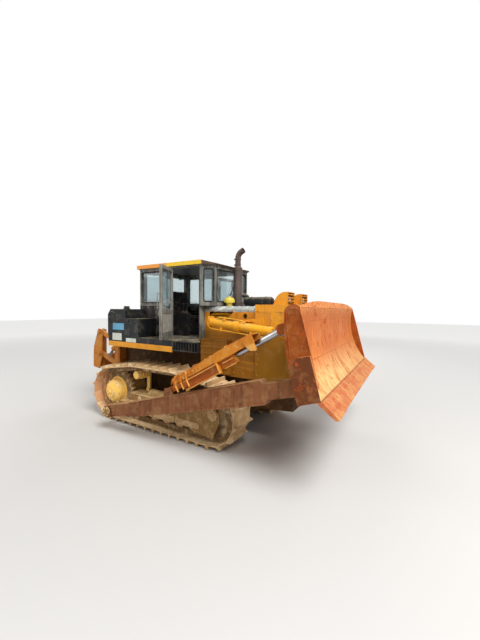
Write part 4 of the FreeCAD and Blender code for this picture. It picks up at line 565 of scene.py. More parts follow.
materials = {slot: wornPaint(slot, **changes) for slot, changes in finishes.items()}
materials["window_glass"] = windowGlass()
materials["lamp_glass"] = lampGlass()
materials["chrome_rod"] = chromeRod()

for part in frame["record"]["subparts"]:
    dressed = nodes[part["node"]].data.materials
    dressed.clear()
    dressed.append(materials[ownFinish.get(part["node"], part["material_slot"])])
print("finishes on all nodes")

# Mesh making: a maker returns points and faces, anticlockwise from outside; a piece gathers them
axle = -1.7245      # the sprocket axle's place along the frame
idlerX = (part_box("idlers")[0][0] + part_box("idlers")[1][0]) / 2 - axle
forward, rearward, leftward, rightward, upward = (1, 0, 0), (-1, 0, 0), (0, 1, 0), (0, -1, 0), (0, 0, 1)


def pivotFrame(x, z, degrees):
    # Metres drawn level about a pin, turned up by an angle and set on that pin
    turn = math.radians(degrees)
    axes = np.array([[math.cos(turn), 0, math.sin(turn)], [0, 1, 0], [-math.sin(turn), 0, math.cos(turn)]])
    return lambda points: points @ axes + np.array([axle + x, 0, z])


def doorFrame(side, degrees):
    # The door drawn shut about its hinge and turned open; side is -1 on the right
    turn = math.radians(side * degrees)
    axes = np.array([[math.cos(turn), math.sin(turn), 0], [-math.sin(turn), math.cos(turn), 0], [0, 0, 1]])
    return lambda points: points @ axes + np.array([axle + 1.362, side * 0.822, 0])


machineFrame = pivotFrame(0, 0, 0)
bladeFrame = pivotFrame(0.55, 0.40, 15.07)
tiltFrame = pivotFrame(2.132, 1.0248, 29.15)
liftFrame = pivotFrame(3.005, 2.12, -6.10)


def ringFaces(rows, sides, loop=False):
    # Quads between rings one after another, with the ends shut unless the last meets the first
    row, side = np.meshgrid(np.arange(rows if loop else rows - 1), np.arange(sides), indexing="ij")
    after, beside = (row + 1) % rows, (side + 1) % sides
    this, that = row * sides, after * sides
    quads = np.stack([this + side, this + beside, that + beside, that + side], -1)
    faces = quads.reshape(-1, 4).tolist()
    if not loop:
        faces += [list(range(sides))[::-1], list(range((rows - 1) * sides, rows * sides))]
    return faces


def ring(count, radius, centre=(0, 0, 0), axis=1, start=0.0):
    # Points round an axis: radius times cosine and sine of even angles, from a centre
    angle = np.arange(count) * 2 * np.pi / count + start
    points = np.tile(np.array(centre, float), (count, 1))
    first, second = [other for other in range(3) if other != axis]
    points[:, first] += radius * np.cos(angle)
    points[:, second] += radius * np.sin(angle)
    return points


def circle(radius, sides):
    return ring(sides, radius, axis=2)[:, :2]


def flat(width, height):
    return np.array([(-width, -height), (width, -height), (width, height), (-width, height)]) / 2


def lathe(profile, sides):
    # Rows of (height, radius) from the foot up, about z
    height, radius = np.array(profile, float).T
    rim = circle(1, sides)
    points = np.concatenate([radius[:, None, None] * rim, np.repeat(height[:, None, None], sides, 1)], -1)
    return points.reshape(-1, 3), ringFaces(len(height), sides)


def sweep(path, section, loop=False, up=upward):
    # A section (across, up) carried along a path
    path = np.array(path, float)
    ahead = np.roll(path, -1, 0) - np.roll(path, 1, 0)
    if not loop:
        ahead[0], ahead[-1] = path[1] - path[0], path[-1] - path[-2]
    ahead /= np.linalg.norm(ahead, axis=1, keepdims=True)
    rise = np.array(up, float)
    if abs(rise @ ahead[0]) > 0.95:
        rise = np.array([1.0, 0, 0]) if abs(ahead[0][0]) < 0.9 else np.array([0, 1.0, 0])
    rises = []
    for way in ahead:
        rise = rise - way * (rise @ way)
        rise = rise / np.linalg.norm(rise)
        rises.append(rise)
    rises = np.array(rises)
    across = np.cross(rises, ahead)
    section = np.array(section, float)
    points = path[:, None] + across[:, None] * section[None, :, :1] + rises[:, None] * section[None, :, 1:]
    return points.reshape(-1, 3), ringFaces(len(path), len(section), loop)


def bent(corners, cut, steps=4, loop=False):
    # A path through corners, each eased by a short curve that starts and ends a cut away from it
    corners = np.array(corners, float)
    if not cut:
        return corners
    path = []
    for index, corner in enumerate(corners):
        if not loop and index in (0, len(corners) - 1):
            path.append(corner)
            continue
        back = corners[index - 1] - corner
        onward = corners[(index + 1) % len(corners)] - corner
        start = corner + back * min(0.48, cut / np.linalg.norm(back))
        end = corner + onward * min(0.48, cut / np.linalg.norm(onward))
        for share in np.linspace(0, 1, steps + 1):
            path.append(start * (1 - share) ** 2 + corner * 2 * share * (1 - share) + end * share ** 2)
    return np.array(path)


def slab(outline, low, high):
    # An outline (x, y), anticlockwise, between two heights
    outline = np.array(outline, float)
    points = np.concatenate([np.column_stack([outline, np.full(len(outline), z)]) for z in (low, high)])
    return points, ringFaces(2, len(outline))


def block(xs, ys, zs):
    (rear, front), (right, left) = sorted(xs), sorted(ys)
    return slab([(rear, right), (front, right), (front, left), (rear, left)], *sorted(zs))


def sidePlate(outline, low, high):
    # An outline (x, z), anticlockwise as the right side shows it, between two y
    points, faces = slab(outline, -high, -low)
    return np.column_stack([points[:, 0], -points[:, 2], points[:, 1]]), faces


def put(made, place, way=upward, roll=0.0):
    # A made shape with its z laid along a way
    points, faces = made
    way = np.array(way, float) / np.linalg.norm(way)
    side = np.cross((0, 1, 0) if abs(way[1]) < 0.9 else (0, 0, 1), way)
    side = side / np.linalg.norm(side)
    other = np.cross(way, side)
    axes = np.array([side * math.cos(roll) + other * math.sin(roll),
                     other * math.cos(roll) - side * math.sin(roll), way])
    return points @ axes + np.array(place, float), faces


def hexBolt(size):
    return lathe([(0, size * 1.3), (size * 0.12, size * 1.3), (size * 0.14, size), (size * 0.72, size),
                  (size * 0.86, size * 0.8)], 6)


class Piece:
    def __init__(self, name, body, finish, frame=machineFrame):
        self.name, self.body, self.finish, self.frame = name, body, finish, frame
        self.points, self.faces, self.count = [], [], 0

    def add(self, made, place=(0, 0, 0), way=upward, roll=0.0):
        points, faces = put(made, place, way, roll)
        self.points.append(points)
        self.faces += [[corner + self.count for corner in face] for face in faces]
        self.count += len(points)
        return self

    def bolts(self, way, size, places):
        for number, place in enumerate(places):
            self.add(hexBolt(size), place, way, 0.7 * number)
        return self

    def bead(self, radius, path):
        # A weld bead: a low rope whose radius swells by a sine along it
        path = np.array(path, float)
        lengths = np.concatenate([[0], np.cumsum(np.linalg.norm(np.diff(path, axis=0), axis=1))])
        at = np.arange(0, lengths[-1], radius * 2.2)
        dense = np.column_stack([np.interp(at, lengths, path[:, axis]) for axis in range(3)])
        points, faces = sweep(dense, circle(radius, 6))
        swell = 1 + 0.28 * np.sin(np.arange(len(dense)) * 2.4)
        points = (points.reshape(len(dense), 6, 3) - dense[:, None]) * swell[:, None, None] + dense[:, None]
        return self.add((points.reshape(-1, 3), faces))

    def fill(self, look):
        # All that a table holds; the first comment of each kind below says what its rows are
        for way, sides, profile, *places in look.get("turned", []):
            for place in places:
                self.add(lathe(profile, sides), place, way)
        for radius, sides, cut, corners in look.get("pipes", []):
            self.add(sweep(bent(corners, cut), circle(radius, sides)))
        for up, section, cut, corners in look.get("straps", []):
            self.add(sweep(bent(corners, cut), flat(*section), up=up))
        for spans in look.get("blocks", []):
            self.add(block(*spans))
        for outline, low, high in look.get("plates", []):
            self.add(sidePlate(outline, low, high))
        for row in look.get("bolts", []):
            self.bolts(*row)
        for row in look.get("beads", []):
            self.bead(*row)
        return self

    def build(self, mirror=False, bevel=0.0):
        points = self.frame(np.concatenate(self.points))
        faces = self.faces
        if mirror:
            twin = points * np.array([1, -1, 1])
            faces = faces + [[corner + len(points) for corner in face[::-1]] for face in faces]
            points = np.concatenate([points, twin])
        mesh = bpy.data.meshes.new(self.name)
        mesh.from_pydata(points.tolist(), [], faces)
        mesh.polygons.foreach_set("use_smooth", np.ones(len(mesh.polygons), bool))
        mesh.set_sharp_from_angle(angle=math.radians(38))
        mesh.materials.append(materials[self.finish])
        made = bpy.data.objects.new(self.name, mesh)
        scene.collection.objects.link(made)
        if bevel:
            edge = made.modifiers.new("Edges", "BEVEL")
            edge.width = bevel
            edge.segments = 2
            edge.limit_method = "ANGLE"
            edge.angle_limit = math.radians(40)
        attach(made, self.body)
        return made


# Track: the chain line, worked out again from its wheels, carries shoe bolts and pin ends
chain = {
    "links": 38,
    "sprocket": (0.0, 0.595, 0.468),        # x, z and the chain line's radius
    "carriers": [(0.75, 1.035, 0.14), (1.85, 1.035, 0.14)],
    "idler": (0.575, 0.448),
    "middle": -1.0,
    "shoeTop": 0.0615,
    "boltRows": (0.052, 0.112),
    "boltLines": (0.068, 0.098),
    "bolt": 0.0135,
    "pinFace": 0.1035,
    "pinEnd": [(0, 0.034), (0.009, 0.034), (0.012, 0.026), (0.008, 0.022)],
}


def chainPins(look):
    # Arcs round the wheels between the tangents that join them, shared out evenly among the links
    wheels = [look["sprocket"], *look["carriers"], (idlerX, *look["idler"])]
    spans = []
    for (x, z, radius), (nextX, nextZ, nextRadius) in zip(wheels, wheels[1:] + wheels[:1]):
        run = np.array([nextX - x, nextZ - z])
        length = np.linalg.norm(run)
        way = run / length
        lean = math.asin((radius - nextRadius) / length)
        normal = np.array([-way[1], way[0]]) * math.cos(lean) + way * math.sin(lean)
        spans.append(math.atan2(normal[1], normal[0]))
    line = []
    for index, (x, z, radius) in enumerate(wheels):
        turn = (spans[index - 1] - spans[index]) % (2 * math.pi)
        angles = spans[index - 1] - np.linspace(0, turn, 60)
        line += list(zip(x + radius * np.cos(angles), z + radius * np.sin(angles)))
    line = np.array(line + line[:1])
    travel = np.concatenate([[0], np.cumsum(np.linalg.norm(np.diff(line, axis=0), axis=1))])
    at = np.arange(look["links"]) * travel[-1] / look["links"]
    return np.column_stack([np.interp(at, travel, line[:, axis]) for axis in range(2)])


def addTrackDetail(look):
    bolts = Piece("TrackShoeBolts", "hull", "track_steel")
    pinEnds = Piece("TrackPinEnds", "hull", "track_steel")
    pins = chainPins(look)
    middle = look["middle"]
    for start, end in zip(pins, np.roll(pins, -1, 0)):
        way = (end - start) / np.linalg.norm(end - start)
        out = np.array([-way[1], way[0]])
        for along in look["boltRows"]:
            x, z = start + way * along + out * look["shoeTop"]
            for y in [middle + side * line for line in look["boltLines"] for side in (-1, 1)]:
                bolts.add(hexBolt(look["bolt"]), (x, y, z), (out[0], 0, out[1]))
        for side in (-1, 1):
            face = (start[0], middle + side * look["pinFace"], start[1])
            pinEnds.add(lathe(look["pinEnd"], 9), face, (0, side, 0))
    bolts.build(mirror=True)
    pinEnds.build(mirror=True)


addTrackDetail(chain)

# Wheel hubs and cream roller caps, with their bolts
hubLook = {
    "turned": [     # way, sides, rows of height and radius, places
        (rightward, 16, [(0, 0.052), (0.012, 0.052), (0.018, 0.04), (0.018, 0.022), (0.034, 0.02)],
         (0, -1.249, 0.595)),
        (rightward, 18, [(0, 0.086), (0.016, 0.084), (0.03, 0.064), (0.034, 0.04)],
         (0.75, -1.159, 1.035), (1.85, -1.159, 1.035)),
    ],
    "bolts": [      # way, size, places
        (rightward, 0.016, ring(12, 0.222, (0, -1.176, 0.595))),
        (rightward, 0.016, ring(8, 0.088, (0, -1.25, 0.595))),
        (rightward, 0.009, ring(4, 0.05, (0.75, -1.186, 1.035), start=0.4)),
        (rightward, 0.009, ring(4, 0.05, (1.85, -1.186, 1.035), start=0.4)),
    ],
}
Piece("HubFixings", "hull", "roller_paint").fill(hubLook).build(mirror=True)

# Track frames: sprocket segments, idler and roller ends, trunnion cap, and the plates that guard the rollers
plugs = (0.85, 1.25, 2.1)
trackFrameLook = {
    "turned": [
        (rightward, 18, [(0, 0.098), (0.014, 0.098), (0.02, 0.088), (0.02, 0.05), (0.034, 0.046)],
         (idlerX, -1.169, 0.575)),
        (rightward, 14, [(0, 0.05), (0.008, 0.05), (0.012, 0.044)], *[(x, -1.1775, 0.56) for x in plugs]),
    ],
    "bolts": [
        (rightward, 0.014, ring(18, 0.352, (0, -1.038, 0.595))),
        (rightward, 0.013, ring(6, 0.074, (idlerX, -1.189, 0.575))),
        *[(rightward, 0.008, ring(4, 0.036, (x, -1.188, 0.56), start=0.5)) for x in plugs],
        (rightward, 0.016, ring(6, 0.072, (0.55, -1.73, 0.40))),
    ],
    "beads": [(0.006, [(0.6, -1.179, 0.636), (2.3, -1.179, 0.636)])],      # radius, path
    "guards": 3,
    "guardSpan": (0.64, 2.42, 0.262, 0.372),        # rear, front, foot, top
    "guardFace": -1.178,
    "guardGap": 0.01,
    "guardCut": 0.03,
    "guardBolts": (0.1, 0.37, 0.63, 0.9),
}


def addTrackFrames(look):
    steel = Piece("TrackFrameFixings", "hull", "track_steel").fill(look)
    rear, front, low, high = look["guardSpan"]
    face, gap, cut = look["guardFace"], look["guardGap"], look["guardCut"]
    step = (front - rear) / look["guards"]
    for number in range(look["guards"]):
        start, end = rear + step * number + gap, rear + step * (number + 1) - gap
        outline = [(start + cut, low), (end - cut, low), (end, low + cut), (end, high - cut),
                   (end - cut, high), (start + cut, high), (start, high - cut), (start, low + cut)]
        steel.add(sidePlate(outline, face - 0.012, face + 0.001))
        for share in look["guardBolts"]:
            for z in (low + 0.026, high - 0.026):
                steel.bolts(rightward, 0.011, [(start + (end - start) * share, face - 0.012, z)])
    steel.build(mirror=True, bevel=0.002)


addTrackFrames(trackFrameLook)
print("track and undercarriage fixings made")

# Push arms: weld beads along the corners and butt joints, grease points, and the rear socket's plate
armLook = {
    "middle": 1.59,
    "half": 0.095,
    "corners": (0.74, 3.46, 0.105, 0.153, -0.165, -0.187),      # rear, front, top and foot at each
    "throat": (0.64, 0.092),
    "joints": (1.28, 2.35),
    "jointTop": (0.096, 0.0176),        # height at the arm's rear, and its rise per metre
    "nipple": [(0, 0.014), (0.012, 0.014), (0.016, 0.008), (0.028, 0.007)],
    "nippleAt": ((0.16, 0.0), (1.69, 0.03)),
    "plate": ((0.125, 0.215), (-0.085, 0.085), 0.012),      # clear of the trunnion's cap
    "plateBolts": [(x, z) for x in (0.147, 0.193) for z in (-0.06, 0.06)],
}


def addArmDetail(look, name, body, side):
    piece = Piece(name, body, "arm_steel", bladeFrame)
    rear, front, rearTop, frontTop, rearFoot, frontFoot = look["corners"]
    height, rise = look["jointTop"]
    for face in (-1, 1):
        y = side * look["middle"] + face * (look["half"] + 0.001)
        piece.bead(0.007, [(rear + 0.01, y, rearTop - 0.008), (front - 0.01, y, frontTop - 0.008)])
        piece.bead(0.007, [(rear + 0.01, y, rearFoot + 0.008), (front - 0.01, y, frontFoot + 0.008)])
        piece.bead(0.007, [(rear, y, rearTop), (look["throat"][0], y, look["throat"][1])])
        for x in look["joints"]:
            piece.bead(0.005, [(x, y, rearFoot), (x, y, height + (x - rear) * rise)])
    outer = side * (look["middle"] + look["half"])
    way = (0, side, 0)
    for x, z in look["nippleAt"]:
        piece.add(lathe(look["nipple"], 8), (x, outer, z), way)
    xs, zs, thick = look["plate"]
    piece.add(block(xs, (outer, outer + side * thick), zs))
    piece.bolts(way, 0.012, [(x, outer + side * thick, z) for x, z in look["plateBolts"]])
    piece.build(bevel=0.002)


addArmDetail(armLook, "RightArmWelds", "push_arm", -1)
addArmDetail(armLook, "LeftArmWelds", "blade", 1)

# Blade: low bolt heads along the cutting edge, weld seams and lug pins
bladeLook = {
    "foot": 4.29,
    "seam": -0.18,
    "run": 0.146,
    "drop": 0.22,
    "barHalf": 1.432,
    "boltStep": 0.168,
    "firstBolt": 0.09,
    "barBolt": (0.004, 0.075),      # proud of the foot, and down the slope
    "bitProud": 0.014,
    "boltHead": [(-0.002, 0.02125), (0.003, 0.0204), (0.007, 0.0119), (0.004, 0.00765)],
    "bitBolts": [(along, depth) for along in (0.07, 0.19, 0.31) for depth in (0.06, 0.15)],
    "half": 1.79,
    "plateFoot": 1.821,
    "arch": [(4.292, 0.414), (4.296, 0.894), (4.276, 0.949), (4.206, 0.979), (4.136, 0.969), (4.106, 0.924),
             (4.041, 0.494), (4.026, 0.379)],
    "boxFoot": 1.823,
    "endBox": [(4.285, 0.368), (4.13, 0.370), (3.993, 0.264), (3.993, -0.17)],
    "across": ((0.008, 4.288, -0.176), (0.007, 4.072, 0.762)),      # weld radius, x, height
    "faceEnd": 4.296,
    "curve": (1.24, 0.3925, 0.5725),        # face radius, height of its middle, half its chord
    "joints": (0.28, 0.80),
    "ribs": (-1.25, -0.4, 0.0, 0.4, 1.25),
    "ribFace": 0.014,
    "rib": [(4.002, 0.16), (4.07, 0.76)],
    "lugPin": [(0, 0.012), (0.01, 0.012), (0.014, 0.006)],
    "lugPins": [(3.929, y, z) for y in (-1.50, 1.50) for z in (0.704, 0.754, 0.804)],
}


def addBladeDetail(look):
    fixings = Piece("CuttingEdgeBolts", "blade", "edge_steel", bladeFrame)
    slope = math.hypot(look["run"], look["drop"])
    outward = (look["drop"] / slope, 0, look["run"] / slope)
    down = np.array([look["run"], 0, -look["drop"]]) / slope
    head = lathe(look["boltHead"], 10)
    barHalf = look["barHalf"]
    proud, depth = look["barBolt"]
    for y in np.arange(-barHalf + look["firstBolt"], barHalf, look["boltStep"]):
        fixings.add(head, np.array([look["foot"] + proud, y, look["seam"]]) + down * depth, outward)
    for side in (-1, 1):
        for along, depth in look["bitBolts"]:
            corner = np.array([look["foot"] + look["bitProud"], side * (barHalf + along), look["seam"]])
            fixings.add(head, corner + down * depth, outward)
    fixings.build()
    welds = Piece("BladeWelds", "blade", "blade_steel", bladeFrame)
    half = look["half"]
    for side in (-1, 1):
        welds.bead(0.006, bent([(x, side * look["plateFoot"], z) for x, z in look["arch"]], 0.05))
        welds.bead(0.006, [(x, side * look["boxFoot"], z) for x, z in look["endBox"]])
    for thick, x, height in look["across"]:
        welds.bead(thick, [(x, -half, height), (x, half, height)])
    # plate joints across the face follow its curve: depth = sqrt(r2 - h2) from the chord's middle
    radius, middle, chord = look["curve"]
    for height in look["joints"]:
        depth = math.sqrt(radius ** 2 - (height - middle) ** 2) - math.sqrt(radius ** 2 - chord ** 2)
        x = look["faceEnd"] - depth
        welds.bead(0.0055, [(x, -half, height), (x, half, height)])
    for y in look["ribs"]:
        for face in (-1, 1):
            welds.bead(0.006, [(x, y + face * look["ribFace"], z) for x, z in look["rib"]])
    for place in look["lugPins"]:
        welds.add(lathe(look["lugPin"], 8), place, (0, -math.copysign(1, place[1]), 0))
    welds.build()


addBladeDetail(bladeLook)
print("arms and blade detailed")

# Lift cylinders: feed pipes over and under the barrel, bands, flange and gland bolts
liftLook = {
    "middle": 0.865,
    "outer": 0.045,
    "pipe": 0.011,
    "under": [(-0.585, -0.02), (-0.63, -0.06), (-0.55, -0.118), (0.30, -0.112), (0.60, -0.105),
              (0.635, -0.078)],
    "over": [(-0.40, 0.07), (-0.40, 0.108), (-0.13, 0.112), (0.02, 0.112), (0.16, 0.098), (0.16, 0.07)],
    "clamps": ((0.30, -0.112), (-0.30, -0.114), (-0.25, 0.11)),
    "clampHalf": 0.02,
    "clampReach": (0.02, 0.07),     # from the barrel's middle plane
    "clampCover": (0.014, 0.05),        # beyond the pipe, and back to the barrel
    "band": [(0, 0.076), (0.002, 0.080), (0.026, 0.080), (0.028, 0.076)],
    "bands": (0.21, 0.5),
    "flange": ((-0.06, -0.07), (-0.06, 0.07), (0.06, 0.07), (0.06, -0.07)),
}


def addLiftDetail(look, name, side):
    piece = Piece(f"Lift{name}Pipes", f"lift_barrel_{name.lower()}", "cylinder_paint", liftFrame)
    y = side * look["middle"]
    outer = y + side * look["outer"]
    for corners, cut in ((look["under"], 0.04), (look["over"], 0.03)):
        piece.add(sweep(bent([(x, outer, z) for x, z in corners], cut), circle(look["pipe"], 8)))
    half, (near, far), (beyond, back) = look["clampHalf"], look["clampReach"], look["clampCover"]
    for x, z in look["clamps"]:
        out = math.copysign(1, z)
        top = z + out * beyond
        piece.add(block((x - half, x + half), (y + side * near, y + side * far), (top, z - out * back)))
        piece.bolts((0, 0, out), 0.008, [(x, outer, top)])
    for x in look["bands"]:
        piece.add(lathe(look["band"], 24), (x, y, 0), forward)
    for across, up in look["flange"]:
        piece.bolts(rearward, 0.012, [(-0.60, y + across, up)])
    piece.bolts(forward, 0.009, ring(8, 0.066, (0.683, y, 0), axis=0))
    piece.build(bevel=0.002)


addLiftDetail(liftLook, "Right", -1)
addLiftDetail(liftLook, "Left", 1)

# Tilt cylinder: twin pipes along its cover, clamps, folded straps at its foot, bolts along the guards
clamps = ((0.32, 0.138), (0.72, 0.138), (1.08, 0.138), (1.40, 0.152))
tiltLook = {
    "pipes": [      # radius, sides, cut, corners
        (0.010, 8, 0.04, [(0.10, y, 0.075), (0.16, y, 0.152), (0.6, y, 0.154), (1.12, y, 0.154),
                          (1.17, y, 0.168), (end, y, 0.17), (end + 0.06, y, 0.150)])
        for y, end in ((-1.635, 1.6), (-1.59, 1.8))
    ],
    "straps": [     # up, width and thickness, cut, corners
        *[(upward, (0.034, 0.006), 0.015, [(x, -1.675, z + 0.002), (x, -1.66, z + 0.034),
                                           (x, -1.565, z + 0.034), (x, -1.55, z + 0.002)])
          for x, z in clamps],
        *[(forward, (0.034, 0.004), 0.04, [(x, -1.748, -0.10), (x, -1.756, 0.02), (x, -1.722, 0.10),
                                           (x, -1.718, 0.146), (x, -1.65, 0.148)])
          for x in (0.30, 0.43, 0.56)],
    ],
    "bolts": [
        *[(upward, 0.009, [(x, -1.685, z), (x, -1.538, z)]) for x, z in clamps],
        *[(rightward, 0.008, [(x, -1.724, 0.125)]) for x in np.arange(1.22, 1.88, 0.105)],
        *[(rightward, 0.008, [(x, -1.710, 0.085)]) for x in np.arange(0.55, 1.15, 0.14)],
    ],
    "beads": [
        (0.005, [(0.47, -1.740, 0.012), (1.18, -1.740, 0.012)]),
        (0.005, [(0.23, -1.7105, 0.040), (1.15, -1.7105, 0.040)]),
        (0.006, [(1.152, -1.715, 0.139), (1.152, -1.465, 0.139)]),
    ],
}
Piece("TiltFittings", "tilt_barrel", "tilt_guard", tiltFrame).fill(tiltLook).build(bevel=0.0015)

braceLook = {"turned": [(forward, 20, [(0, 0.057), (0.004, 0.066), (0.04, 0.066), (0.044, 0.057)],
                         (0.195, 1.59, 0), (2.13, 1.59, 0))]}
Piece("BraceFittings", "blade", "cylinder_paint", tiltFrame).fill(braceLook).build()

# Bonnet: stiffening strips over the sheet, handles and bolts
bonnetLook = {
    "straps": [(rightward, (0.030, 0.005), 0, [(x, -0.621, 2.370), (x, -0.621, 2.408), (x, -0.558, 2.4715),
                                               (x, 0, 2.4715)]) for x in (2.115, 2.66, 3.225)],
    "pipes": [(0.007, 8, 0.012, [(x, -0.622, 2.375), (x, -0.642, 2.385), (x, -0.642, 2.435),
                                 (x, -0.622, 2.442)]) for x in (2.30, 2.92)],
    "bolts": [
        (rightward, 0.010, [(x, -0.62, 2.388) for x in (2.16, 2.45, 2.62, 2.78, 3.06, 3.19)]),
        (upward, 0.009, [(x, -0.52, 2.47) for x in np.arange(2.2, 3.2, 0.16)]),
    ],
}
Piece("BonnetFittings", "hull", "worn_bonnet").fill(bonnetLook).build(mirror=True, bevel=0.001)

# Radiator guard: seams, hatch, corner welds and bolts, and the side panel's latches below
latches = (2.22, 2.56)
boltRows = ((3.285, (1.25, 1.44, 1.63, 1.82, 2.01, 2.20, 2.39)),
            (3.905, (1.25, 1.44, 1.63, 1.82, 2.01, 2.39)))
guardLook = {
    "blocks": [     # spans along x, y and z
        ((3.25, 3.94), (-0.664, -0.659), (2.364, 2.376)),
        ((3.25, 3.78), (-0.664, -0.659), (2.149, 2.161)),
        ((3.949, 3.953), (-0.53, 0.0), (2.34, 2.352)),
        ((3.949, 3.953), (-0.53, 0.0), (1.308, 1.32)),
        *[((x - 0.03, x + 0.03), (-0.763, -0.749), (1.40, 1.46)) for x in latches],
        ((2.74, 3.22), (-0.625, -0.619), (1.44, 1.452)),
        ((2.74, 3.22), (-0.625, -0.619), (1.83, 1.842)),
    ],
    "plates": [([(3.545, 2.10), (3.735, 2.10), (3.735, 2.37), (3.545, 2.37)], -0.669, -0.659)],
    "bolts": [
        (rightward, 0.008, [(x, -0.669, z) for x in (3.565, 3.715) for z in (2.125, 2.235, 2.345)]),
        (rightward, 0.011, [(x, -0.66, z) for x, heights in boltRows for z in heights]),
        (forward, 0.007, [(3.95, -0.59, z) for z in np.arange(1.30, 2.45, 0.21)]),
        (forward, 0.007, [(3.95, y, z) for y in (-0.4, -0.13) for z in (1.235, 2.42)]),
        *[(rightward, 0.008, [(x, -0.763, 1.43)]) for x in latches],
        (rightward, 0.011, [(x, -0.62, z) for x in (2.78, 2.98, 3.19) for z in (1.24, 1.62, 2.09)]),
        (rightward, 0.009, [(x, -0.75, z) for x in (2.13, 2.68) for z in (1.36, 1.60, 1.80)]),
    ],
    "beads": [      # the corner's weld is open where a blade lug passes at full tilt
        (0.006, [(3.946, -0.658, 1.16), (3.946, -0.658, 2.20)]),
        (0.006, [(3.946, -0.658, 2.38), (3.946, -0.658, 2.49)]),
        *[(0.005, [(3.545, y, 2.502), (3.79, y, 2.502)]) for y in (-0.534, -0.210)],
    ],
}
Piece("GuardFittings", "hull", "yellow_paint").fill(guardLook).build(mirror=True, bevel=0.0015)

capLook = {
    "turned": [(upward, 20, [(0, 0.075), (0.012, 0.075), (0.014, 0.058), (0.03, 0.056), (0.034, 0.062),
                             (0.052, 0.062), (0.06, 0.05), (0.066, 0.02)], (3.40, 0, 2.498))],
    "pipes": [(0.007, 8, 0.02, [(3.40, -0.06, 2.552), (3.40, -0.045, 2.586), (3.40, 0.045, 2.586),
                                (3.40, 0.06, 2.552)])],
}
Piece("RadiatorCap", "hull", "yellow_paint").fill(capLook).build()

# Head lamps: fluted lenses and their rims
headLook = {
    "middle": ((3.762, -0.372, 2.595), (3.762, 0.372, 2.595)),
    "lens": [(0, 0.058), (0.004, 0.057), (0.012, 0.042), (0.016, 0.02)],
    "rim": (0.061, 0.005, 0.002),       # radius, thickness, and how far before the lens
}


def addHeadLamps(look):
    lens = Piece("HeadLampLenses", "hull", "lamp_glass")
    bezel = Piece("HeadLampBezels", "hull", "lamp")
    radius, thick, before = look["rim"]
    for x, y, z in look["middle"]:
        lens.add(lathe(look["lens"], 24), (x, y, z), forward)
        rim = ring(24, radius, (x + before, y, z), axis=0)
        bezel.add(sweep(rim, circle(thick, 6), loop=True, up=forward))
    lens.build()
    bezel.build()


addHeadLamps(headLook)

# Engine side, seen in the gap under the bonnet: pipes, a casing, filters, hoses and covers
engineLook = {
    "pipes": [
        (0.036, 14, 0.06, [(2.19, -0.50, 2.10), (2.19, -0.50, 2.24), (2.46, -0.50, 2.25),
                           (2.66, -0.48, 2.225)]),
        (0.016, 10, 0.05, [(2.15, -0.55, 2.30), (2.34, -0.55, 2.325), (2.62, -0.55, 2.325),
                           (2.70, -0.52, 2.29)]),
    ],
    "turned": [
        (forward, 14, [(0, 0.037), (0.003, 0.046), (0.022, 0.046), (0.025, 0.037)],
         (2.25, -0.50, 2.245), (2.44, -0.50, 2.245), (2.60, -0.50, 2.245)),
        (upward, 18, [(0, 0.034), (0.012, 0.046), (0.15, 0.046), (0.16, 0.03), (0.172, 0.03), (0.175, 0.05),
                      (0.20, 0.05)], (2.30, -0.49, 2.05), (2.42, -0.49, 2.05)),
    ],
    "plates": [
        ([(2.68, 2.20), (2.90, 2.19), (2.96, 2.24), (2.96, 2.335), (2.90, 2.36), (2.70, 2.36), (2.66, 2.31)],
         -0.54, -0.40),
        ([(2.15, 2.10), (2.62, 2.10), (2.62, 2.325), (2.58, 2.35), (2.19, 2.35), (2.15, 2.32)], -0.46, -0.34),
    ],
    "bolts": [
        (rightward, 0.010, [(2.70, -0.54, 2.225), (2.89, -0.54, 2.215), (2.935, -0.54, 2.30),
                            (2.80, -0.54, 2.34), (2.69, -0.54, 2.32)]),
        (rightward, 0.010, [(x, -0.46, z) for x in np.arange(2.19, 2.62, 0.097) for z in (2.13, 2.32)]),
    ],
}
Piece("EngineFittings", "hull", "engine_iron").fill(engineLook).build(bevel=0.0015)

hoseLook = {
    "pipes": [
        (0.024, 12, 0.05, [(2.92, -0.50, 2.20), (3.0, -0.555, 2.185), (3.08, -0.56, 2.13),
                           (3.19, -0.50, 2.09)]),
        *[(0.006, 6, 0.03, [(x, -0.30, 2.32), (x, -0.38, 2.352), (x + 0.04, -0.44, 2.33),
                            (x + 0.05, -0.44, 2.20)])
          for x in 2.36 + 0.13 * np.arange(6)],       # injector pipes
        (0.012, 8, 0.05, [(2.22, -0.55, 2.14), (2.22, -0.57, 2.20), (2.40, -0.58, 2.205), (2.58, -0.57, 2.17),
                          (2.64, -0.50, 2.10)]),
    ],
}
Piece("EngineHoses", "hull", "rubber").fill(hoseLook).build()

# Exhaust: clamp bands with their lugs, flange bolts and the silencer's seam
bands = ((2.53, 0.093), (3.20, 0.093), (3.315, 0.058), (3.43, 0.058))       # height and radius
stackLook = {
    "turned": [(upward, 26, [(0, radius), (0.003, radius + 0.006), (0.024, radius + 0.006), (0.027, radius)],
                (2.52, -0.07, z)) for z, radius in bands],
    "blocks": [((2.49 - radius, 2.524 - radius), (-0.085, -0.055), (z + 0.002, z + 0.025))
               for z, radius in bands],
    "bolts": [
        *[(rightward, 0.006, [(2.504 - radius, -0.085, z + 0.013)]) for z, radius in bands],
        (upward, 0.010, ring(8, 0.107, (2.52, -0.07, 2.482), axis=2, start=0.2)),
    ],
    "beads": [(0.004, [(2.4275, -0.07, 2.56), (2.4275, -0.07, 3.19)])],
}
Piece("ExhaustFittings", "hull", "exhaust_steel").fill(stackLook).build()

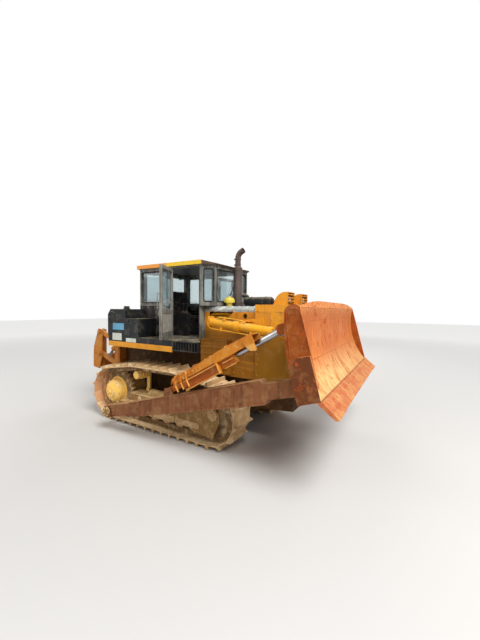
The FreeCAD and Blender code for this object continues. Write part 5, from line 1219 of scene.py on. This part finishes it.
# Air cleaner: straps round it, end cap and the hose to the precleaner
cleanerLook = {
    "turned": [
        (forward, 26, [(0, 0.0965), (0.002, 0.101), (0.032, 0.101), (0.034, 0.0965)],
         (2.683, 0.205, 2.582), (3.023, 0.205, 2.582)),
        (forward, 18, [(0, 0.05), (0.01, 0.062), (0.018, 0.062), (0.022, 0.03), (0.05, 0.018)],
         (3.178, 0.205, 2.582)),
    ],
    "blocks": [((x - 0.012, x + 0.012), (0.098, 0.112), (2.545, 2.60)) for x in (2.70, 3.04)],
    "hose": [(2.60, 0.205, 2.62), (2.60, 0.205, 2.70), (2.49, 0.14, 2.72), (2.40, -0.06, 2.66),
             (2.44, -0.24, 2.60), (2.46, -0.30, 2.56)],
}
cleaner = Piece("AirCleanerFittings", "hull", "black_paint").fill(cleanerLook)
cleaner.add(sweep(bent(cleanerLook["hose"], 0.10, 6), circle(0.042, 16))).build()

# Precleaner: fins round its bowl, a clamp below and a cap
bowlLook = {
    "fins": ring(24, 0.101, (2.48, -0.322, 2.557), axis=2),
    "fin": ((-0.004, 0.004), (-0.003, 0.003), (0, 0.044)),
    "turned": [
        (upward, 20, [(0, 0.055), (0.002, 0.06), (0.016, 0.06), (0.018, 0.055)], (2.48, -0.322, 2.49)),
        (upward, 14, [(0, 0.03), (0.006, 0.028), (0.01, 0.02), (0.018, 0.018), (0.022, 0.012)],
         (2.48, -0.322, 2.657)),
    ],
}
bowl = Piece("PrecleanerFins", "hull", "precleaner_plastic").fill(bowlLook)
for place in bowlLook["fins"]:
    bowl.add(block(*bowlLook["fin"]), place)
bowl.build()
print("cylinders, bonnet, engine and stack detailed")

doors = {"Right": (-1, 63), "Left": (1, 90)}        # side, and degrees open at rest

# Cab: rubber seals round the windows and the door openings
sealLook = {
    "wall": 0.801,
    "sideWindow": (0.5, 1.25, 2.545, 3.195),        # rear, front, foot, top
    "cornerFoot": 2.565,
    "corner": ((2.16, 0.80), (2.35, 0.62)),     # the slanted corner pane's ends
    "cornerInset": 0.038,
    "opening": [(1.41, 1.835), (2.099, 1.835), (2.099, 3.234), (1.41, 3.234)],      # bare on the hinge side
    "front": (2.351, 0.56),
    "rear": (0.439, 0.64, 2.505),
    "lowerDoor": (1.982, 2.342),
    "upperDoor": (2.412, 3.155),
    "door": (0.073, 0.663, 0.021),
}


def windowSeal(piece, corners, normal, width=0.022, proud=0.008, loop=True):
    half, crest = width / 2, width / 4
    section = [(-half, -0.004), (half, -0.004), (half, proud / 2), (crest, proud), (-crest, proud),
               (-half, proud / 2)]
    piece.add(sweep(bent(corners, 0.035, 3, loop), section, loop, normal))


def turnedTo(side, corners):
    # Corners stay anticlockwise from outside on either side
    return corners[::-1] if side > 0 else corners


def addCabSeals(look):
    seals = Piece("CabSeals", "hull", "rubber")
    x0, x1, foot, high = look["sideWindow"]
    low = look["cornerFoot"]
    for side in (-1, 1):
        y = side * look["wall"]
        corners = [(x0, y, foot), (x1, y, foot), (x1, y, high), (x0, y, high)]
        windowSeal(seals, turnedTo(side, corners), (0, side, 0))
        start, end = (np.array([x, side * y]) for x, y in look["corner"])
        way = (end - start) / np.linalg.norm(end - start)
        out = np.array([-side * way[1], side * way[0]])
        near = start + way * look["cornerInset"] + out * 0.001
        far = end - way * look["cornerInset"] + out * 0.001
        corners = [(*near, low), (*far, low), (*far, high), (*near, high)]
        windowSeal(seals, turnedTo(side, corners), (*out, 0))
        opening = [(x, y, z) for x, z in look["opening"]]
        windowSeal(seals, turnedTo(side, opening), (0, side, 0), 0.010, 0.004, loop=False)
    x, half = look["front"]
    windowSeal(seals, [(x, -half, low), (x, half, low), (x, half, high), (x, -half, high)], forward)
    x, half, foot = look["rear"]
    windowSeal(seals, [(x, half, foot), (x, -half, foot), (x, -half, high), (x, half, high)], rearward)
    seals.build()
    x0, x1, inside = look["door"]
    for name, (side, degrees) in doors.items():
        fitting = Piece(f"Door{name}Seals", f"door_{name.lower()}", "rubber", doorFrame(side, degrees))
        y = -side * inside
        for low, high in (look["upperDoor"], look["lowerDoor"]):
            corners = [(x0, y, low), (x1, y, low), (x1, y, high), (x0, y, high)]
            windowSeal(fitting, turnedTo(side, corners), (0, side, 0), 0.02, 0.006)
        fitting.build()


addCabSeals(sealLook)

# Cab trim: gutters, grab rails, waist strips and bolts
trimLook = {
    "wall": 0.801,
    "gutter": ((0.44, 2.16), 3.255, (0.026, 0.022)),
    "rail": [(0, 2.02), (0.055, 2.04), (0.055, 2.92), (0, 2.94)],       # out from the wall, and height
    "railX": 1.305,
    "waist": ((0.44, 1.34), (2.478, 2.492)),
    "sideBolts": ((1.90, 0.010), (2.44, 0.009)),
    "sideBoltX": (0.52, 0.9, 1.28),
    "blocks": [((0.434, 0.441), (-0.70, 0.70), zs) for zs in ((2.30, 2.312), (1.98, 1.992))],
    "bolts": [(rearward, 0.010, [(0.44, y, z) for y in (-0.74, -0.25, 0.25, 0.74) for z in (1.90, 2.40)])],
}


def addCabTrim(look):
    trim = Piece("CabTrim", "hull", "cab_paint").fill(look)
    for side in (-1, 1):
        y = side * look["wall"]
        ends, z, section = look["gutter"]
        trim.add(sweep([(x, y, z) for x in ends], flat(*section)))
        rail = [(look["railX"], y + side * out, z) for out, z in look["rail"]]
        trim.add(sweep(bent(rail, 0.04), circle(0.012, 10)))
        trim.add(block(look["waist"][0], (y, y + side * 0.006), look["waist"][1]))
        for z, size in look["sideBolts"]:
            trim.bolts((0, side, 0), size, [(x, y, z) for x in look["sideBoltX"]])
    trim.build(bevel=0.0015)


addCabTrim(trimLook)

roofLook = {"blocks": [((0.48, 2.08), (y - 0.03, y + 0.03), (3.346, 3.358)) for y in (-0.52, 0.0, 0.52)]}
Piece("RoofRibs", "hull", "roof_paint").fill(roofLook).build(bevel=0.005)

# Work lamps at the rear of the roof
workLampLook = {
    "turned": [(rearward, 18, [(0, 0.02), (0.01, 0.045), (0.05, 0.058), (0.056, 0.058), (0.058, 0.05)],
                (0.425, -0.56, 3.222), (0.425, 0.56, 3.222))],
    "blocks": [((0.37, 0.44), (y - 0.012, y + 0.012), (3.262, 3.272)) for y in (-0.56, 0.56)],
}
workLensLook = {"turned": [(rearward, 18, [(0, 0.049), (0.005, 0.044), (0.008, 0.02)],
                            (0.367, -0.56, 3.222), (0.367, 0.56, 3.222))]}
Piece("RearWorkLamps", "hull", "lamp").fill(workLampLook).build()
Piece("RearWorkLampLenses", "hull", "lamp_glass").fill(workLensLook).build()

# Wipers, one on the front window and one on the rear: spindle, arm and blade
wiperLook = {
    "spindle": [(0, 0.016), (0.01, 0.016), (0.016, 0.01)],
    "places": ((2.362, 1, -0.30, 0.42), (0.428, -1, 0.30, -0.42)),      # x, way, foot and reach across
    "arm": ((0, 2.53), (0.4, 2.72), (0.72, 2.86)),      # share of the reach, and height
    "blade": ((0.42, 2.66), (0.98, 3.05)),
    "bow": (0, 0.006, 0),
    "inward": 0.003,
    "root": 0.012,
}


def addWipers(look):
    wipers = Piece("Wipers", "hull", "rubber")
    for x, way, foot, reach in look["places"]:
        wipers.add(lathe(look["spindle"], 12), (x - way * look["root"], foot, look["arm"][0][1]), (way, 0, 0))
        arm = [(x + way * bow, foot + reach * share, z) for bow, (share, z) in zip(look["bow"], look["arm"])]
        wipers.add(sweep(arm, circle(0.004, 6)))
        blade = [(x - way * look["inward"], foot + reach * share, z) for share, z in look["blade"]]
        wipers.add(sweep(blade, flat(0.008, 0.014)))
    wipers.build()


addWipers(wiperLook)

# Door locks and hinge bolts
lockLook = {
    "plate": ((0.655, 0.712), 0.012, (2.30, 2.40)),
    "key": [(0, 0.012), (0.01, 0.012), (0.014, 0.008)],
    "keyAt": (0.684, 2.33),
    "hinges": (1.982, 3.025),
    "hingeBolts": (0.045, 0.078),
}


def addLocks(look):
    for name, (side, degrees) in doors.items():
        lock = Piece(f"Door{name}Lock", f"door_{name.lower()}", "cab_paint", doorFrame(side, degrees))
        y = -side * 0.022
        xs, thick, zs = look["plate"]
        lock.add(block(xs, (y, y + side * thick), zs))
        lock.add(lathe(look["key"], 10), (look["keyAt"][0], y + side * thick, look["keyAt"][1]), (0, side, 0))
        for z in look["hinges"]:
            lock.bolts((0, side, 0), 0.007, [(x, 0.0, z) for x in look["hingeBolts"]])
        lock.build(bevel=0.001)


addLocks(lockLook)

# Inside: knobs and boots on the levers, arm rests, dash with gauges, pedals and a ribbed mat
levers = [(x, y) for y in (-0.355, 0.355) for x in (1.30, 1.39)]
insideLook = {
    "turned": [
        (upward, 14, [(0, 0.011), (0.008, 0.02), (0.03, 0.026), (0.052, 0.024), (0.062, 0.012)],
         *[(x, y, 2.475) for x, y in levers]),
        (upward, 14, [(0, 0.042), (0.012, 0.034), (0.018, 0.038), (0.028, 0.028), (0.034, 0.031),
                      (0.05, 0.014)], *[(x, y, 2.319) for x, y in levers]),
        (rearward, 18, [(0, 0.034), (0.008, 0.036), (0.012, 0.032), (0.01, 0.028)],
         *[(1.939, y, 2.44) for y in (-0.2, -0.1, 0.0, 0.1, 0.2)]),
    ],
    "plates": [([(1.925, 2.40), (1.94, 2.40), (1.94, 2.50), (1.905, 2.515)], -0.30, 0.30)],
    "straps": [(upward, (0.075, 0.012), 0.03, [(1.90, y, 1.90), (1.82, y, 1.93), (1.76, y, 2.0)])
               for y in (-0.16, 0.16)],
    "blocks": [
        ((0.88, 1.22), (-0.41, -0.30), (2.335, 2.375)),
        ((0.88, 1.22), (0.30, 0.41), (2.335, 2.375)),
        *[((1.40, 1.85), (y - 0.009, y + 0.009), (1.8295, 1.836)) for y in np.arange(-0.26, 0.27, 0.04)],
    ],
}
Piece("ControlKnobs", "hull", "control_plastic").fill(insideLook).build(bevel=0.001)
print("cab and its inside detailed")

# Blank patches on the tank: rear, front, foot and top of each
patches = {
    "BluePatch": ("blue_patch", 0.14, 0.50, 1.965, 2.105),
    "WhitePatch": ("white_patch", 0.125, 0.425, 1.745, 1.895),
    "WhitePlate": ("white_patch", 0.56, 0.865, 1.725, 1.808),
}
for name, (finish, x0, x1, z0, z1) in patches.items():
    outline = [(x0, z0), (x1, z0 + 0.002), (x1 - 0.004, z1), (x0 + 0.003, z1 - 0.002)]
    Piece(name, "hull", finish).add(sidePlate(outline, -1.272, -1.27)).build()

# Tanks: filler caps, the grab hoop, battery lids with hinges, and rows of bolts
lidHinges, farHinges = (0.62, 0.85), (0.15, 0.72)
tankLook = {
    "pipes": [(0.012, 10, 0.05, [(0.10, -1.2705, 2.125), (0.10, -1.3205, 2.135), (0.11, -1.3255, 2.335),
                                 (0.27, -1.3255, 2.335), (0.29, -1.3205, 2.135), (0.29, -1.2705, 2.125)])],
    "turned": [
        (upward, 20, [(0, 0.07), (0.02, 0.07), (0.022, 0.055), (0.03, 0.055), (0.034, 0.06), (0.06, 0.058),
                      (0.066, 0.04)], (0.27, -1.02, 2.40)),
        (upward, 20, [(0, 0.08), (0.02, 0.08), (0.022, 0.06), (0.03, 0.06), (0.034, 0.066), (0.07, 0.064),
                      (0.078, 0.04)], (0.15, 0.45, 2.40)),
    ],
    "blocks": [
        ((0.56, 0.91), (-1.272, -0.81), (2.193, 2.206)),
        *[((x - 0.025, x + 0.025), (-1.281, -1.268), (2.14, 2.21)) for x in lidHinges],
        ((0.0, 0.90), (0.81, 1.272), (2.208, 2.216)),
        *[((x - 0.025, x + 0.025), (1.268, 1.281), (2.15, 2.22)) for x in farHinges],
        ((-0.337, -0.329), (-0.78, 0.78), (1.985, 1.997)),
    ],
    "bolts": [
        *[(rightward, 0.007, [(x, -1.281, 2.155)]) for x in lidHinges],
        *[(leftward, 0.007, [(x, 1.281, 2.165)]) for x in farHinges],
        (rearward, 0.010, [(-0.33, y, z) for y in (-0.72, -0.36, 0.0, 0.36, 0.72) for z in (1.84, 2.15)]),
        (rightward, 0.010, [(x, -1.2705, 1.765) for x in np.arange(0.95, 1.86, 0.18)]),
        (leftward, 0.010, [(x, 1.2705, 1.765) for x in np.arange(0.05, 1.86, 0.18)]),
    ],
}
Piece("TankFittings", "hull", "black_paint").fill(tankLook).build(bevel=0.002)

# Fenders: lozenge treads, turned by turns, and the bolts of the coloured strip
treadLook = {
    "lozenge": [(-0.001, 0.012), (0.0025, 0.010)],
    "stretch": (1.5, 0.5, 1),
    "step": 0.05,
    "span": (1.0, 1.85, -1.24, -0.82),
    "top": 1.83,
    "turn": 0.8,
}


def addTreads(look):
    tread = Piece("FenderTreads", "hull", "black_paint")
    points, faces = lathe(look["lozenge"], 4)
    lozenge = (points * np.array(look["stretch"]), faces)
    step = look["step"]
    rear, front, outer, inner = look["span"]
    for x in np.arange(rear, front, step):
        for y in np.arange(outer, inner, step):
            odd = (round(x / step) + round(y / step)) % 2
            tread.add(lozenge, (x, y, look["top"]), upward, look["turn"] if odd else -look["turn"])
    tread.build(mirror=True)


addTreads(treadLook)
stripLook = {"bolts": [(rightward, 0.010, [(x, -1.27, 1.66) for x in np.arange(0.08, 1.82, 0.29)])]}
Piece("FenderStripBolts", "hull", "strip_paint").fill(stripLook).build(mirror=True)

# Ripper and hull rear: pin caps with bolts, weld beads and the shank's pin
pinCap = [(0, 0.058), (0.0098, 0.058), (0.014, 0.0522), (0.014, 0.03596), (0.021, 0.03364), (0.0238, 0.0232)]


def pinTable(pins):
    return {
        "turned": [(rightward, 16, pinCap, *[(x, -0.689, z) for x, z in pins])],
        "bolts": [(rightward, 0.009, ring(3, 0.047, (x, -0.70, z), start=0.5)) for x, z in pins],
    }


hullPins = pinTable([(-0.56, 1.01), (-0.56, 1.56)])
hullPins["bolts"].append((forward, 0.016, [(-0.451, -0.62, z) for z in (1.1, 1.35, 1.7)]))
hullPins["beads"] = [(0.007, [(-0.482, -0.674, 0.93), (-0.482, -0.674, 1.93)])]
Piece("RipperPinCapsHull", "hull", "ripper_steel").fill(hullPins).build(mirror=True)

beamPins = pinTable([(-1.2366, 1.2563), (-1.2366, 1.8063)])
beamPins["beads"] = [
    (0.006, [(-1.492, -0.66, 1.181), (-1.492, 0.0, 1.181)]),
    (0.006, [(-1.492, -0.66, 0.899), (-1.492, 0.0, 0.899)]),
    (0.007, [(-1.340, -0.50, 1.181), (-1.340, 0.0, 1.181)]),
]
Piece("RipperPinCapsRipperBeam", "ripper_beam", "ripper_steel").fill(beamPins).build(mirror=True)

shankPin = [(0, 0.026), (0.03, 0.026), (0.034, 0.032), (0.046, 0.032), (0.05, 0.022)]
shankLook = {"turned": [(rightward, 16, shankPin, (-1.42, -0.037, 1.24)),
                        (leftward, 16, shankPin, (-1.42, 0.037, 1.24))]}
Piece("ShankPin", "ripper_beam", "ripper_steel").fill(shankLook).build()
print("tanks, fenders and ripper detailed")

# Seat pad: the cushion's form, a little smaller, blown up as cloth, then sewn into channels
seatLook = {
    "merge": 0.0002,
    "voxel": 0.013,
    "inset": 0.014,
    "pressure": 4.0,
    "cap": 0.024,       # the farthest a point may move
    "frames": 20,
    "channels": (-0.12, 0.12),
    "channelDepth": 0.009,
    "channelWidth": 0.011,
    "fill": 0.7,
}


def meshPoints(mesh, what="co"):
    values = np.empty(len(mesh.vertices) * 3, np.float32)
    mesh.vertices.foreach_get(what, values)
    return values.reshape(-1, 3).astype(float)


def settled(thing):
    # The mesh with its modifiers worked in
    return bpy.data.meshes.new_from_object(thing.evaluated_get(bpy.context.evaluated_depsgraph_get()))


def blownUp(pad, look):
    # Points of the pad under pressure, none moved farther than the cap
    start = meshPoints(pad.data)
    cloth = pad.modifiers.new("Blown", "CLOTH")
    cloth.settings.use_pressure = True
    cloth.settings.uniform_pressure_force = look["pressure"]
    cloth.settings.effector_weights.gravity = 0
    for number in range(1, look["frames"] + 1):
        scene.frame_set(number)
    blown = settled(pad)
    pad.modifiers.clear()
    scene.frame_set(1)
    move = meshPoints(blown) - start
    reach = np.linalg.norm(move, axis=1, keepdims=True)
    return start + move * np.minimum(1, look["cap"] / np.maximum(reach, 1e-9))


def addSeatPad(look):
    mesh = nodes["seat_cushion"].data.copy()
    work = bmesh.new()
    work.from_mesh(mesh)
    bmesh.ops.remove_doubles(work, verts=work.verts, dist=look["merge"])
    work.to_mesh(mesh)
    work.free()
    points = meshPoints(mesh)
    low, high = points.min(0), points.max(0)
    middle = (low + high) / 2
    points = (points - middle) * (1 - 2 * look["inset"] / (high - low)) + middle
    mesh.vertices.foreach_set("co", points.ravel())
    pad = bpy.data.objects.new("OperatorCushion", mesh)
    scene.collection.objects.link(pad)
    remesh = pad.modifiers.new("Even", "REMESH")
    remesh.mode = "VOXEL"
    remesh.voxel_size = look["voxel"]
    pad.data = settled(pad)
    pad.modifiers.clear()
    start = meshPoints(pad.data)
    start = blownUp(pad, look)
    pad.data.vertices.foreach_set("co", start.ravel())
    pad.data.update()
    # sewn channels sink by a rounded groove along each line: depth times exp(-(distance / width)^2)
    normals = meshPoints(pad.data, "normal")
    sunk = sum(np.exp(-((start[:, 1] - y) / look["channelWidth"]) ** 2) for y in look["channels"])
    start = start - normals * (sunk * look["channelDepth"])[:, None]
    start = np.clip(start, low, high)
    pad.data.vertices.foreach_set("co", start.ravel())
    pad.data.polygons.foreach_set("use_smooth", np.ones(len(pad.data.polygons), bool))
    pad.data.update()
    pad.data.materials.clear()
    pad.data.materials.append(materials["seat_cloth"])
    finer = pad.modifiers.new("Finer", "SUBSURF")
    finer.levels = finer.render_levels = 1
    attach(pad, "hull")
    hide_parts("seat_cushion")


addSeatPad(seatLook)
print("seat pad made")
